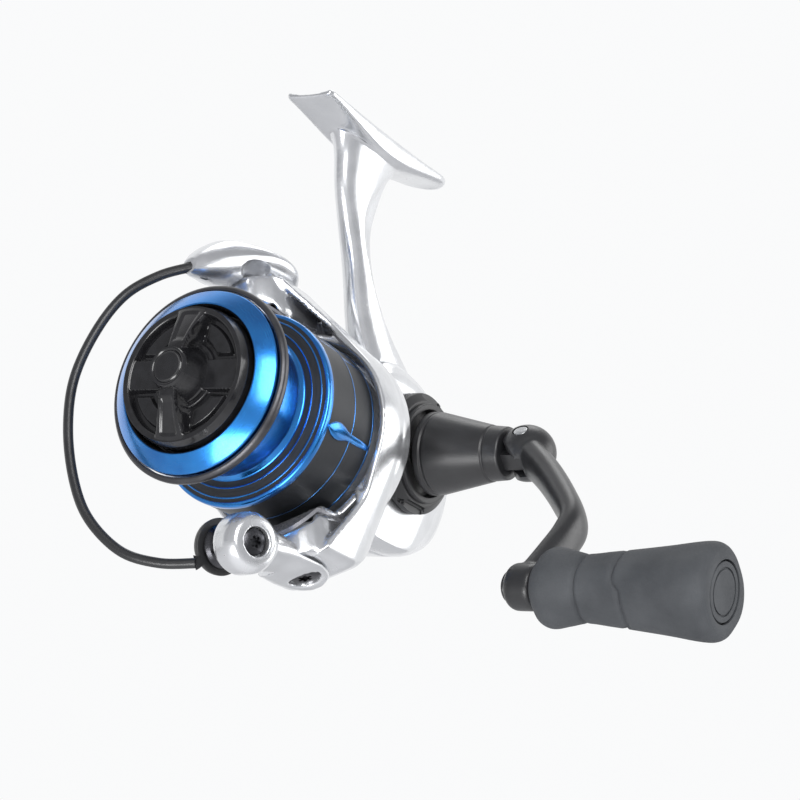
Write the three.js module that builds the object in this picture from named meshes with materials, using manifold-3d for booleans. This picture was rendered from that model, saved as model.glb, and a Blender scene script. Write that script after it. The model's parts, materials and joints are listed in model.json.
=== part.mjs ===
// A spinning reel, in millimetres. Z is up, -Y is the front of the spool, +X is the handle's side.
// Everything is drawn about the spool's axis, with the spool's lip at y = 0, and the whole reel is
// then moved so that the middle of the foot's seat is the origin.
import * as THREE from "three";
import { mergeVertices } from "three/addons/utils/BufferGeometryUtils.js";
import Module from "manifold-3d";

const wasm = await Module();
wasm.setup();

// ---------------------------------------------------------------- driving dimensions

const GAP = 0.3; // between pieces that stay together
const RUNNING = 0.5; // between pieces that turn or slide past each other
const EPS = 1; // how far a cutter passes the face it opens

// main shaft and its stroke
const SHAFT_R = 2;
const STROKE_FORWARD = 3;
const STROKE_REARWARD = 9;

// spool
const LIP_R = 23;
const LIP_WIDTH = 1.6;
const CONE_OUTER_R = 21.65;
const CONE_INNER_R = 17.44;
const CONE_RISE = 3;
const ARBOR_R = 16.6;
const ARBOR_START = 3.2;
const ARBOR_END = 15.2;
const SKIRT_FRONT_Y = 17.9;
const SKIRT_FRONT_R = 23.06;
const SKIRT_REAR_Y = 36.9;
const SKIRT_REAR_R = 22.4;
const SKIRT_WALL = 1.2;
const DRAG_WELL_R = 11;
const DRAG_WELL_DEPTH = 7;
const SPOOL_HUB_R = 7;

// drag knob
const KNOB_R = 16.2;
const KNOB_FRONT_Y = -12.5;
const KNOB_BOSS_R = 4.6;

// rotor
const ARM_TILT = 22; // degrees from upright, top arm away from the handle
const ROTOR_R = 25.6;
const ROTOR_REAR_Y = 50.2;
const DRUM_R = 19.3;
const DRUM_WALL = 3.9;
const ROTOR_WEB = 2.6;
const ARM_REACH = 36.2; // from the axis to the arm's outer face
const ARM_WIDTH = 18.6;
const ARM_ROOT_WIDTH = 47;
const PIVOT_Y = 32;
const PIVOT_R = 2;

// bail
const WIRE_R = 1.15;
const LEVER_THICKNESS = 5.6;
const ROLLER_ARM_THICKNESS = 2.1;
const BAIL_DRUM_R = 6.9;
const ROLLER_R = 4;
const ROLLER_WIDTH = 4.6;

// drive
const GEAR_AXIS_Y = 70;
const GEAR_AXIS_Z = 6;
const DRIVE_SHAFT_R = 3;
const DRIVE_GEAR_R = 14.8;
const DRIVE_GEAR_TEETH = 52;
const PINION_TEETH = 10;
const PINION_R = 4.8;
const PINION_NECK_R = 3.9;
const TRAVERSE_PINION_R = DRIVE_SHAFT_R + 1.6;
const TRAVERSE_GEAR_R = 8.2;
const TRAVERSE_GEAR_TEETH = 24;
const GEAR_THICKNESS = 2.6;

// body
const BODY_HALF_WIDTH = 12;
const BODY_WALL = 1.5;
const BODY_SPLIT_X = 5; // the side cover's joint face
const NOSE_R = 14;
const STEM_THICKNESS = 6;

// foot
const FOOT_LENGTH = 58;
const FOOT_WIDTH = 13.2;
const FOOT_END_THICKNESS = 1.8;
const FOOT_MID_THICKNESS = 6;
const FOOT_FRONT_Y = 19.8;
const FOOT_EDGE_Z = 79.35;
const SEAT_R = 22; // hollow across the foot's top, which sits on a rod's seat
const SEAT_SIDES = 48;

// handle
const CRANK_TURN = -39; // degrees from hanging straight down, at rest
const BEARING_COVER_R = 14.5;
const SHANK_START_X = 17.4;
const SHANK_END_X = 38.7;
const SHANK_BIG_R = 9.95;
const SHANK_SMALL_R = 6.3;
const HEAD_R = 6.7;
const HEAD_X = 43.6;
const FOLD_PIN_R = 1.7;
const ARM_LENGTH = 52;
const FOLD_LIMIT = 45; // degrees the arm folds in before it meets the rotor, at rest
const ARM_END_X = 68;
const ARM_ROOT_THICKNESS = 6.8;
const ARM_END_THICKNESS = 5.2;
const HANDLE_BOSS_R = 5.2;
const KNOB_START_X = 72.4;
const KNOB_LENGTH = 42.5;
const KNOB_SPINDLE_R = 2;

// ---------------------------------------------------------------- finishes

function finish(color, roughness, metalness) {
  return new THREE.MeshStandardMaterial({ color, roughness, metalness });
}

const SILVER = () => finish(0xd9dce0, 0.22, 0.9);
const BLUE = () => finish(0x0b6fd6, 0.2, 0.9);
const DARK_METAL = () => finish(0x4a4e54, 0.35, 0.8);
const BLACK_PLASTIC = () => finish(0x0d0e10, 0.25, 0.0);
const SATIN_BLACK = () => finish(0x1b1d20, 0.45, 0.3);
const RUBBER = () => finish(0x3a3f47, 0.85, 0.0);
const STEEL = () => finish(0xb8bcc0, 0.3, 1.0);
const BRASS = () => finish(0xc9a24a, 0.3, 1.0);
const FELT = () => finish(0x2c2a28, 0.95, 0.0);
const NYLON = () => finish(0xe6e4dc, 0.6, 0.0);

// ---------------------------------------------------------------- geometry helpers

const rad = THREE.MathUtils.degToRad;
const FINE = 28; // sides of a large turned piece

// A closed geometry whose faces point out, whichever way its outline was drawn.
function facingOut(geometry) {
  const bare = new THREE.BufferGeometry();
  const flat = geometry.index ? geometry.toNonIndexed() : geometry;
  bare.setAttribute("position", flat.getAttribute("position").clone());
  const merged = mergeVertices(bare, 1e-4);
  const p = merged.getAttribute("position");
  const [a, b, c] = [0, 1, 2].map(() => new THREE.Vector3());
  const faces = [];
  let volume = 0;
  for (let i = 0; i < merged.index.count; i += 3) {
    const face = [0, 1, 2].map((k) => merged.index.getX(i + k));
    if (new Set(face).size < 3) continue; // where a turned profile meets its axis
    [a, b, c].forEach((v, k) => v.fromBufferAttribute(p, face[k]));
    volume += a.dot(b.cross(c));
    faces.push(face);
  }
  merged.setIndex(faces.flatMap((f) => (volume < 0 ? [f[0], f[2], f[1]] : f)));
  return merged;
}

function solid(geometry) {
  const g = facingOut(geometry);
  const mesh = { numProp: 3, vertProperties: g.attributes.position.array };
  return new wasm.Manifold(new wasm.Mesh({ ...mesh, triVerts: new Uint32Array(g.index.array) }));
}

function shapeOf(made) {
  const mesh = made.getMesh();
  const g = new THREE.BufferGeometry();
  g.setAttribute("position", new THREE.BufferAttribute(new Float32Array(mesh.vertProperties), 3));
  return g.setIndex(new THREE.BufferAttribute(mesh.triVerts, 1));
}

const join = (first, ...rest) => rest.reduce((all, s) => all.add(s), first);
const cut = (first, ...rest) => rest.reduce((all, s) => all.subtract(s), first);

// Turns a geometry drawn about +Y so that its axis lies along another direction.
function aim(geometry, direction) {
  const turn = new THREE.Quaternion();
  turn.setFromUnitVectors(new THREE.Vector3(0, 1, 0), new THREE.Vector3(...direction).normalize());
  return geometry.applyQuaternion(turn);
}

// A profile of [radius, height] corners turned about Y.
function turned(profile, sides = 24) {
  const closed = profile[0][0] > 0 ? [...profile, profile[0]] : profile;
  return new THREE.LatheGeometry(closed.map(([r, y]) => new THREE.Vector2(r, y)), sides);
}

const rod = (r, y0, y1, sides = 14) => turned([[0, y0], [r, y0], [r, y1], [0, y1]], sides);
const ring = (outer, inner, y0, y1, sides = 20) =>
  turned([[inner, y0], [outer, y0], [outer, y1], [inner, y1]], sides);

// The same, drawn about an axis along X, at the height of the handle's axis.
const ON_GEAR_AXIS = [0, GEAR_AXIS_Y, GEAR_AXIS_Z];
const alongX = (geometry, at = ON_GEAR_AXIS) => aim(geometry, [1, 0, 0]).translate(...at);

function block([x0, x1], [y0, y1], [z0, z1]) {
  const box = new THREE.BoxGeometry(x1 - x0, y1 - y0, z1 - z0);
  return box.translate((x0 + x1) / 2, (y0 + y1) / 2, (z0 + z1) / 2);
}

// An outline in the (y, z) plane, drawn out along X.
function slab(outline, x0, x1) {
  const shape = new THREE.Shape(outline.map(([y, z]) => new THREE.Vector2(y, z)));
  const g = new THREE.ExtrudeGeometry(shape, { depth: x1 - x0, bevelEnabled: false });
  const axes = new THREE.Matrix4().set(0, 0, 1, x0, 1, 0, 0, 0, 0, 1, 0, 0, 0, 0, 0, 1);
  return g.applyMatrix4(axes);
}

// Closed rings of the same number of points, joined by a skin and capped at both ends.
function lofted(rings) {
  const n = rings[0].length;
  const points = [];
  const faces = [];
  rings.forEach((r) => r.forEach((p) => points.push(p.x, p.y, p.z)));
  for (let i = 0; i + 1 < rings.length; i++) {
    for (let j = 0; j < n; j++) {
      const [a, b] = [i * n + j, i * n + ((j + 1) % n)];
      faces.push(a, b, b + n, a, b + n, a + n);
    }
  }
  [0, rings.length - 1].forEach((i) => {
    const middle = new THREE.Vector3();
    rings[i].forEach((p) => middle.addScaledVector(p, 1 / n));
    const centre = points.length / 3;
    points.push(middle.x, middle.y, middle.z);
    for (let j = 0; j < n; j++) {
      const [a, b] = [i * n + j, i * n + ((j + 1) % n)];
      faces.push(...(i ? [centre, a, b] : [centre, b, a]));
    }
  });
  const g = new THREE.BufferGeometry();
  g.setAttribute("position", new THREE.Float32BufferAttribute(points, 3));
  return g.setIndex(faces);
}

// A rounded section about a centre: a power of 2 is an ellipse, a larger one is squarer.
function section(centre, right, up, halfWidth, halfHeight, sides = 16, power = 2) {
  return Array.from({ length: sides }, (_, k) => {
    const angle = (2 * Math.PI * (k + 0.5)) / sides;
    const [c, s] = [Math.cos(angle), Math.sin(angle)];
    const squared = (v) => Math.sign(v) * Math.abs(v) ** (2 / power);
    return new THREE.Vector3(...centre)
      .addScaledVector(right, halfWidth * squared(c))
      .addScaledVector(up, halfHeight * squared(s));
  });
}

const X = new THREE.Vector3(1, 0, 0);
const Y = new THREE.Vector3(0, 1, 0);
const Z = new THREE.Vector3(0, 0, 1);

// A limb whose section is square to its path, which bends in the plane that side is square to.
function limb(path, side, widths, steps, sides = 12) {
  const rings = [];
  for (let i = 0; i <= steps; i++) {
    const t = i / steps;
    const ahead = path.getTangent(t);
    const across = new THREE.Vector3().crossVectors(side, ahead).normalize();
    const [w, h] = widths(t);
    rings.push(section(path.getPoint(t).toArray(), side, across, w, h, sides));
  }
  return lofted(rings);
}

function toothed(radius, teeth, depth, thickness, bore) {
  const outline = [];
  for (let k = 0; k < teeth; k++) {
    [radius, radius - depth].forEach((r, corner) => {
      const angle = (2 * Math.PI * (k + corner / 2)) / teeth;
      outline.push(new THREE.Vector2(r * Math.cos(angle), r * Math.sin(angle)));
    });
  }
  const shape = new THREE.Shape(outline);
  if (bore) shape.holes.push(new THREE.Path().absarc(0, 0, bore, 0, 2 * Math.PI, true));
  const g = new THREE.ExtrudeGeometry(shape, { depth: thickness, bevelEnabled: false, curveSegments: 10 });
  return g.rotateX(-Math.PI / 2); // now it lies about +Y, from y = 0 up
}

const wave = (t, from, to) => from + (to - from) * (0.5 - 0.5 * Math.cos(Math.PI * t));

// ---------------------------------------------------------------- groups

const part = new THREE.Group();
const reel = new THREE.Group();
const rotorFrame = new THREE.Group();
const crankFrame = new THREE.Group();
part.add(reel);
reel.add(rotorFrame, crankFrame);
rotorFrame.rotation.y = rad(-ARM_TILT); // its Z runs up the line of the bail's pivots
crankFrame.rotation.x = rad(CRANK_TURN); // its -Z runs down the handle's arm
crankFrame.position.set(0, GEAR_AXIS_Y, GEAR_AXIS_Z);

function add(name, geometry, material, group = reel) {
  const made = geometry.getMesh ? shapeOf(geometry) : facingOut(geometry);
  const mesh = new THREE.Mesh(made, material);
  mesh.name = name;
  group.add(mesh);
}

// ---------------------------------------------------------------- main shaft and spool

const WELL_FLOOR = 1 + DRAG_WELL_DEPTH;
const SPOOL_BORE = SHAFT_R + RUNNING;
const SKIRT_FLOOR_Y = SKIRT_FRONT_Y + 2.4;
const SPOOL_HUB_END = SKIRT_FLOOR_Y + 2;
const CLICK_GEAR_Y = SPOOL_HUB_END + GAP;
const CLICK_GEAR_THICKNESS = 1.8;
const KNOB_RECESS_R = KNOB_R + 0.6;
const FAIRING_FRONT_Y = SKIRT_REAR_Y - 0.4;
const CLIP_TOP_R = SKIRT_FRONT_R + 0.7;
const CLIP_END_Y = FAIRING_FRONT_Y - STROKE_REARWARD - GAP;
const TRAVERSE_DROP = 4.2;
const TRAVERSE_REACH = TRAVERSE_PINION_R + TRAVERSE_GEAR_R + GAP;
const TRAVERSE_MIDDLE_Y = GEAR_AXIS_Y + Math.sqrt(TRAVERSE_REACH ** 2 - TRAVERSE_DROP ** 2);
const TRAVERSE_MIDDLE_Z = GEAR_AXIS_Z - TRAVERSE_DROP;
const SLIDER_Y = TRAVERSE_MIDDLE_Y - (STROKE_REARWARD - STROKE_FORWARD) / 2;
const SLIDER_HALF = 2.2;
const GUIDE_ROD_Z = -5.2;
const GUIDE_ROD_R = 1.2;

function spool() {
  const lipSeat = LIP_R - LIP_WIDTH;
  return turned(
    [
      [SPOOL_BORE, WELL_FLOOR],
      [DRAG_WELL_R, WELL_FLOOR],
      [DRAG_WELL_R, 1],
      [KNOB_RECESS_R, 1],
      [KNOB_RECESS_R, -CONE_RISE - 0.8],
      [CONE_INNER_R, -CONE_RISE - 1.46],
      [CONE_OUTER_R - GAP, -1.48],
      [lipSeat, -1],
      [lipSeat, 1.6],
      [ARBOR_R + 1, ARBOR_START - 0.4],
      [ARBOR_R, ARBOR_START + 0.6],
      [ARBOR_R, ARBOR_END],
      [ARBOR_R + 1.2, ARBOR_END + 1],
      [SKIRT_FRONT_R - 1, SKIRT_FRONT_Y - 0.8],
      [SKIRT_FRONT_R, SKIRT_FRONT_Y],
      [SKIRT_REAR_R, SKIRT_REAR_Y],
      [SKIRT_REAR_R - SKIRT_WALL, SKIRT_REAR_Y],
      [SKIRT_FRONT_R - SKIRT_WALL, SKIRT_FLOOR_Y],
      [SPOOL_HUB_R, SKIRT_FLOOR_Y],
      [SPOOL_HUB_R, SPOOL_HUB_END],
      [SPOOL_BORE, SPOOL_HUB_END],
    ],
    FINE,
  );
}

function lipRing() {
  const inner = LIP_R - LIP_WIDTH + GAP;
  return turned([[inner, -1.1], [LIP_R - 0.7, -1.1], [LIP_R, -0.4], [LIP_R, 0.6], [inner, 1.9]], FINE);
}

// A spring clip for the line's end, lying on the skirt.
function lineClip() {
  const plate = solid(block([SKIRT_REAR_R - 1, CLIP_TOP_R], [SKIRT_FRONT_Y + 2.7, CLIP_END_Y], [-2.1, 2.1]));
  const under = turned(
    [
      [0, SKIRT_FRONT_Y],
      [SKIRT_FRONT_R + GAP, SKIRT_FRONT_Y],
      [SKIRT_REAR_R + GAP, SKIRT_REAR_Y],
      [0, SKIRT_REAR_Y],
    ],
    FINE,
  );
  const clip = shapeOf(cut(plate, solid(under)));
  return clip.rotateY(rad(9));
}

function dragRetainer() {
  const wire = 0.7;
  const hoop = ring(DRAG_WELL_R - GAP, DRAG_WELL_R - GAP - 2 * wire, 1.1, 1.1 + wire, 28);
  return cut(solid(hoop), solid(block([4, 20], [0, 3], [-2.2, 2.2])));
}

function dragKnob() {
  const dish = turned(
    [
      [0, KNOB_FRONT_Y],
      [KNOB_BOSS_R, KNOB_FRONT_Y],
      [KNOB_BOSS_R + 0.6, -7.4],
      [KNOB_R - 3.2, -5.2],
      [KNOB_R - 1.6, -6.6],
      [KNOB_R, -5.6],
      [KNOB_R, 0.3],
      [KNOB_R - 1.6, 0.3],
      [KNOB_R - 1.6, -3.2],
      [6.6, -3.2],
      [6.6, -0.2],
      [5.2, -0.2],
      [5.2, -5.4],
      [0, -5.4],
    ],
    FINE,
  );
  const spine = [
    [-4.2, -KNOB_R + 1.2],
    [-2.3, -5],
    [-2.3, 5],
    [-4.2, KNOB_R - 1.2],
    [4.2, KNOB_R - 1.2],
    [2.3, 5],
    [2.3, -5],
    [4.2, -KNOB_R + 1.2],
  ];
  const blade = new THREE.Shape(spine.map(([x, z]) => new THREE.Vector2(x, z)));
  const fin = new THREE.ExtrudeGeometry(blade, { depth: 5.2, bevelEnabled: false });
  fin.rotateX(Math.PI / 2).translate(0, -5.6, 0);
  const rim = KNOB_R - 0.8;
  const crown = turned([[0, KNOB_FRONT_Y], [4.4, KNOB_FRONT_Y], [rim, -6], [rim, -4], [0, -4]]);
  const trimmed = solid(fin).intersect(solid(crown));
  return join(solid(dish), trimmed).subtract(solid(rod(5.2, -5.4, 1, FINE)));
}

function hexNut(acrossCorners, bore, y0, y1) {
  return cut(solid(rod(acrossCorners, y0, y1, 6)), solid(rod(bore, y0 - EPS, y1 + EPS, 24)));
}

function slider() {
  const [front, rear] = [SLIDER_Y - SLIDER_HALF, SLIDER_Y + SLIDER_HALF];
  const body = solid(block([-3.1, 2.9], [front, rear], [GUIDE_ROD_Z - 2.4, TRAVERSE_MIDDLE_Z + 8]));
  const shaftHole = rod(SHAFT_R + GAP, front - EPS, rear + EPS, 24);
  const guideHole = rod(GUIDE_ROD_R + RUNNING, front - EPS, rear + EPS, 16).translate(0, 0, GUIDE_ROD_Z);
  const crankSlot = block([1.4, 4], [SLIDER_Y - 1.3, SLIDER_Y + 1.3], [2.6, TRAVERSE_MIDDLE_Z + 7]);
  return cut(body, ...[shaftHole, guideHole, crankSlot].map(solid));
}

add("main_shaft", rod(SHAFT_R, -5.1, SLIDER_Y + SLIDER_HALF + 0.4, 24), STEEL());
add("traverse_slider", slider(), NYLON());
const clickGear = ring(SPOOL_HUB_R - 0.4, SHAFT_R + GAP, CLICK_GEAR_Y, CLICK_GEAR_Y + CLICK_GEAR_THICKNESS);
add("click_gear", clickGear, BRASS());
add("spool", spool(), BLUE());
add("spool_lip_ring", lipRing(), DARK_METAL());
add("line_clip", lineClip(), BLUE());

const WASHERS = [
  ["drag_washer_rear", 1.1, FELT],
  ["keyed_washer_rear", 0.7, STEEL],
  ["drag_washer_middle", 1.1, FELT],
  ["keyed_washer_front", 0.7, STEEL],
  ["drag_washer_front", 1.1, FELT],
];
WASHERS.reduce((rearFace, [name, thickness, material]) => {
  const outer = DRAG_WELL_R - (material === FELT ? 0.6 : RUNNING);
  add(name, ring(outer, SPOOL_BORE, rearFace - thickness, rearFace, 28), material());
  return rearFace - thickness - GAP;
}, WELL_FLOOR - GAP);
add("drag_retainer", dragRetainer(), STEEL());

add("drag_knob", dragKnob(), BLACK_PLASTIC());
add("drag_nut", hexNut(4.9, SHAFT_R + GAP, -4.9, -1.7), BRASS());
add("drag_spring", ring(4.4, SHAFT_R + 0.9, -1.4, 1.3, 20), STEEL());

// ---------------------------------------------------------------- rotor

const CUP_INNER_R = SKIRT_REAR_R + 0.8;
const CUP_FLOOR_Y = SKIRT_REAR_Y + STROKE_REARWARD + 0.6;
const DRUM_FRONT_Y = SKIRT_FLOOR_Y + STROKE_REARWARD + 0.7;
const NUT_FRONT_Y = CLICK_GEAR_Y + CLICK_GEAR_THICKNESS + STROKE_REARWARD + RUNNING;
const NUT_LENGTH = 2.6;
const HUB_FRONT_Y = NUT_FRONT_Y + NUT_LENGTH + GAP;
const HUB_REAR_Y = HUB_FRONT_Y + ROTOR_WEB;
const NOSE_FRONT_Y = HUB_REAR_Y + RUNNING;
const NECK_BORE = PINION_NECK_R + GAP;
const ARM_INNER_R = SKIRT_FRONT_R + 1.1;
const ARM_TOP = ARM_REACH;
const POCKET_INNER = ARM_INNER_R + 1.5;
const POCKET_OUTER = ARM_TOP - 2.2;

// An arm's side view as [y, distance from the axis], and its front view, which widens to the cup.
const ARM_SIDE = [
  [49.4, ARM_INNER_R - 3],
  [49.4, 27],
  [47, 31.4],
  [42.5, ARM_TOP - 1.2],
  [37.5, ARM_TOP],
  [20, ARM_TOP],
  [20, ARM_INNER_R + 3.5],
  [27, ARM_INNER_R],
  [SKIRT_REAR_Y, ARM_INNER_R - 3],
];

// One arm, with a rounded end in plan, a pocket open towards the spool and a hole for the pivot.
function rotorArm(side) {
  const half = ARM_WIDTH / 2;
  const root = ARM_ROOT_WIDTH / 2;
  const outward = (out) => side * out;
  const body = solid(slab(ARM_SIDE.map(([y, out]) => [y, outward(out)]), -root, root));
  const corners = [[-root, 9], [-half, ARM_TOP], [half, ARM_TOP], [root, 9]];
  const front = new THREE.Shape(corners.map(([x, out]) => new THREE.Vector2(x, -outward(out))));
  const wedge = new THREE.ExtrudeGeometry(front, { depth: 20, bevelEnabled: false });
  const fairing = wedge.rotateX(-Math.PI / 2).translate(0, FAIRING_FRONT_Y, 0);
  const plan = join(
    solid(aim(rod(half, 12, 45, 28), [0, 0, side]).translate(0, PIVOT_Y, 0)),
    solid(block([-half, half], [PIVOT_Y, 52], side > 0 ? [12, 45] : [-45, -12])),
    solid(fairing),
  );
  const pocketZ = [POCKET_INNER, POCKET_OUTER].map(outward).sort((a, b) => a - b);
  const mouthZ = [ARM_INNER_R - 3, POCKET_INNER + 0.01].map(outward).sort((a, b) => a - b);
  const pocket = block([-half + 2.2, half - 2.2], [PIVOT_Y - 5.6, 45], pocketZ);
  const mouth = block([-half + 1.2, half - 1.2], [PIVOT_Y - 6.6, 46], mouthZ);
  const pivotHole = aim(rod(PIVOT_R + RUNNING, 20, 45, 20), [0, 0, side]).translate(0, PIVOT_Y, 0);
  return { body: body.intersect(plan), cuts: [pocket, mouth, pivotHole].map(solid) };
}

function rotorShell() {
  const shell = turned(
    [
      [DRUM_R - DRUM_WALL, DRUM_FRONT_Y],
      [DRUM_R, DRUM_FRONT_Y],
      [DRUM_R, CUP_FLOOR_Y],
      [CUP_INNER_R, CUP_FLOOR_Y],
      [CUP_INNER_R, SKIRT_REAR_Y + 0.9],
      [CUP_INNER_R + 0.8, SKIRT_REAR_Y + 0.7],
      [ROTOR_R - 0.5, 41.5],
      [ROTOR_R, 45.5],
      [ROTOR_R - 0.7, 49],
      [ROTOR_R - 2.2, ROTOR_REAR_Y],
      [NOSE_R + 1.2, ROTOR_REAR_Y],
      [NOSE_R + 1.2, HUB_REAR_Y],
      [NECK_BORE, HUB_REAR_Y],
      [NECK_BORE, HUB_FRONT_Y],
      [DRUM_R - DRUM_WALL, HUB_FRONT_Y],
    ],
    FINE,
  );
  const [upper, lower] = [rotorArm(1), rotorArm(-1)];
  const clipSweep = CLIP_TOP_R + GAP;
  const sweptBySkirt = turned(
    [
      [0, 10],
      [clipSweep, 10],
      [clipSweep, FAIRING_FRONT_Y + 0.1],
      [CUP_INNER_R, FAIRING_FRONT_Y + 0.7],
      [CUP_INNER_R, CUP_FLOOR_Y],
      [0, CUP_FLOOR_Y],
    ],
    FINE,
  );
  const arms = cut(join(upper.body, lower.body), solid(sweptBySkirt));
  return cut(join(solid(shell), arms), ...upper.cuts, ...lower.cuts);
}

// The inner panel that closes an arm's pocket, and the screw that holds it.
function armCover(side) {
  const half = ARM_WIDTH / 2 - 1.2 - GAP;
  const z = [ARM_INNER_R + 0.1, POCKET_INNER - GAP].map((r) => r * side).sort((a, b) => a - b);
  const panel = solid(block([-half, half], [PIVOT_Y - 6.6 + GAP, 46 - GAP], z));
  const screwHole = aim(rod(0.9 + GAP, 20, 30, 12), [0, 0, side]).translate(0, 42, 0);
  const pivotHole = aim(rod(PIVOT_R + RUNNING, 20, 30, 20), [0, 0, side]).translate(0, PIVOT_Y, 0);
  const skirtRoom = turned([[0, 10], [CUP_INNER_R, 10], [CUP_INNER_R, 60], [0, 60]], FINE);
  return cut(panel, ...[screwHole, pivotHole, skirtRoom].map(solid));
}

function armCoverScrew(side) {
  return aim(rod(0.9, ARM_INNER_R - 0.2, POCKET_OUTER - GAP, 12), [0, 0, side]).translate(0, 42, 0);
}

add("rotor", rotorShell(), SILVER(), rotorFrame);
add("arm_cover_upper", armCover(1), DARK_METAL(), rotorFrame);
add("arm_cover_lower", armCover(-1), DARK_METAL(), rotorFrame);
add("arm_cover_screw_upper", armCoverScrew(1), STEEL(), rotorFrame);
add("arm_cover_screw_lower", armCoverScrew(-1), STEEL(), rotorFrame);
add("rotor_nut", hexNut(6.4, NECK_BORE, NUT_FRONT_Y, NUT_FRONT_Y + NUT_LENGTH), BRASS());

// the bail's kick spring on its guide pin, in the lower arm's pocket
const SPRING_X = 4;
const kickSpring = ring(1.6, 0.9 + GAP, 37.6, 43.4, 12).translate(-SPRING_X, 0, -POCKET_INNER - 3.4);
const kickGuide = rod(0.9, 36.6, 44.4, 12).translate(-SPRING_X, 0, -POCKET_INNER - 3.4);
add("kick_spring", kickSpring, STEEL(), rotorFrame);
add("kick_spring_guide", kickGuide, NYLON(), rotorFrame);

// ---------------------------------------------------------------- pinion, bearings, clutch

const CLUTCH_END_Y = 47.2;
const TEETH_START_Y = 53.4;
const TEETH_LENGTH = 8.2;
const TEETH_END_Y = TEETH_START_Y + TEETH_LENGTH;
const PINION_TAIL_R = 3;
const PINION_TAIL_END = TEETH_END_Y + 3.4;

function pinionGear() {
  const neck = rod(PINION_NECK_R, NUT_FRONT_Y + 0.2, TEETH_START_Y + 0.5, 24);
  const teeth = toothed(PINION_R, PINION_TEETH, 0.9, TEETH_LENGTH).translate(0, TEETH_START_Y, 0);
  const tail = rod(PINION_TAIL_R, TEETH_END_Y - 0.5, PINION_TAIL_END, 20);
  const bore = rod(SHAFT_R + RUNNING, NUT_FRONT_Y - EPS, PINION_TAIL_END + EPS, 24);
  return cut(join(...[neck, teeth, tail].map(solid)), solid(bore));
}

add("pinion_gear", pinionGear(), BRASS());
add("clutch_sleeve", ring(6.6, NECK_BORE, HUB_REAR_Y + GAP, CLUTCH_END_Y - GAP, 28), STEEL());
add("one_way_clutch", ring(11.8, 6.6 + RUNNING, NOSE_FRONT_Y + GAP, CLUTCH_END_Y - GAP, 32), STEEL());
add("pinion_bearing_front", ring(7.6, NECK_BORE, CLUTCH_END_Y + 0.1, 50.6, 28), STEEL());
const rearBearing = ring(4.9, PINION_TAIL_R + GAP, TEETH_END_Y + 0.5, PINION_TAIL_END - 0.3);
add("pinion_bearing_rear", rearBearing, STEEL());

// ---------------------------------------------------------------- bail, in the rotor's frame

const LEVER_INNER = ARM_TOP + RUNNING;
const LEVER_OUTER = LEVER_INNER + LEVER_THICKNESS;
const PIVOT_HEAD_R = 3.4;
const LOWER_SINK = LEVER_INNER + ROLLER_ARM_THICKNESS - 1.8;
const UPPER_SINK = LEVER_OUTER - 2.6;
const DRUM_CENTRE = [-2.2, 10, -35.2];
const DRUM_AXIS = new THREE.Vector3(0.87, -0.34, -0.35).normalize();
const onDrum = (geometry) => aim(geometry, DRUM_AXIS.toArray()).translate(...DRUM_CENTRE);
const ROLLER_END = -2.2; // the roller's face nearest to the drum, along the drum's axis
const COVER_END = ROLLER_END - ROLLER_WIDTH - GAP;
const WIRE_SOCKET = [-9.4, 9.4, -36.4]; // in the roller's cap, past the wire's own end

// A drop-shaped lever that runs from the pivot forward to the wire's end.
// [x, y, height of the middle, half width, half height]
const LEVER_SECTIONS = [
  [0, 42.6, 38.2, 2.6, 0.8],
  [0.2, 40.4, 38.6, 6.2, 1.9],
  [0.4, 36.5, 39.4, 9, 3],
  [0.4, PIVOT_Y, 39.9, 9.8, 3.6],
  [0.3, 27, 40.2, 9.1, 4],
  [0, 22, 39.8, 7.8, 4.8],
  [-0.4, 17, 38.7, 6.4, 5.3],
  [-0.6, 12, 36.8, 4.7, 4.4],
  [-1, 8, 34.9, 3.2, 3.1],
  [-1.2, 5.6, 33.6, 1.8, 1.8],
];

function upperLever() {
  const body = solid(lofted(LEVER_SECTIONS.map(([x, y, z, w, h]) => section([x, y, z], X, Z, w, h, 14))));
  const armRoom = block([-14, 14], [PIVOT_Y - ARM_WIDTH / 2 - 0.8, 60], [20, LEVER_INNER]);
  const hole = aim(rod(PIVOT_R + GAP, 20, 60, 20), [0, 0, 1]).translate(0, PIVOT_Y, 0);
  const sink = aim(rod(PIVOT_HEAD_R + GAP, UPPER_SINK, 60, 20), [0, 0, 1]).translate(0, PIVOT_Y, 0);
  return cut(body, ...[armRoom, hole, sink, wireRoom()].map(solid));
}

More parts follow.
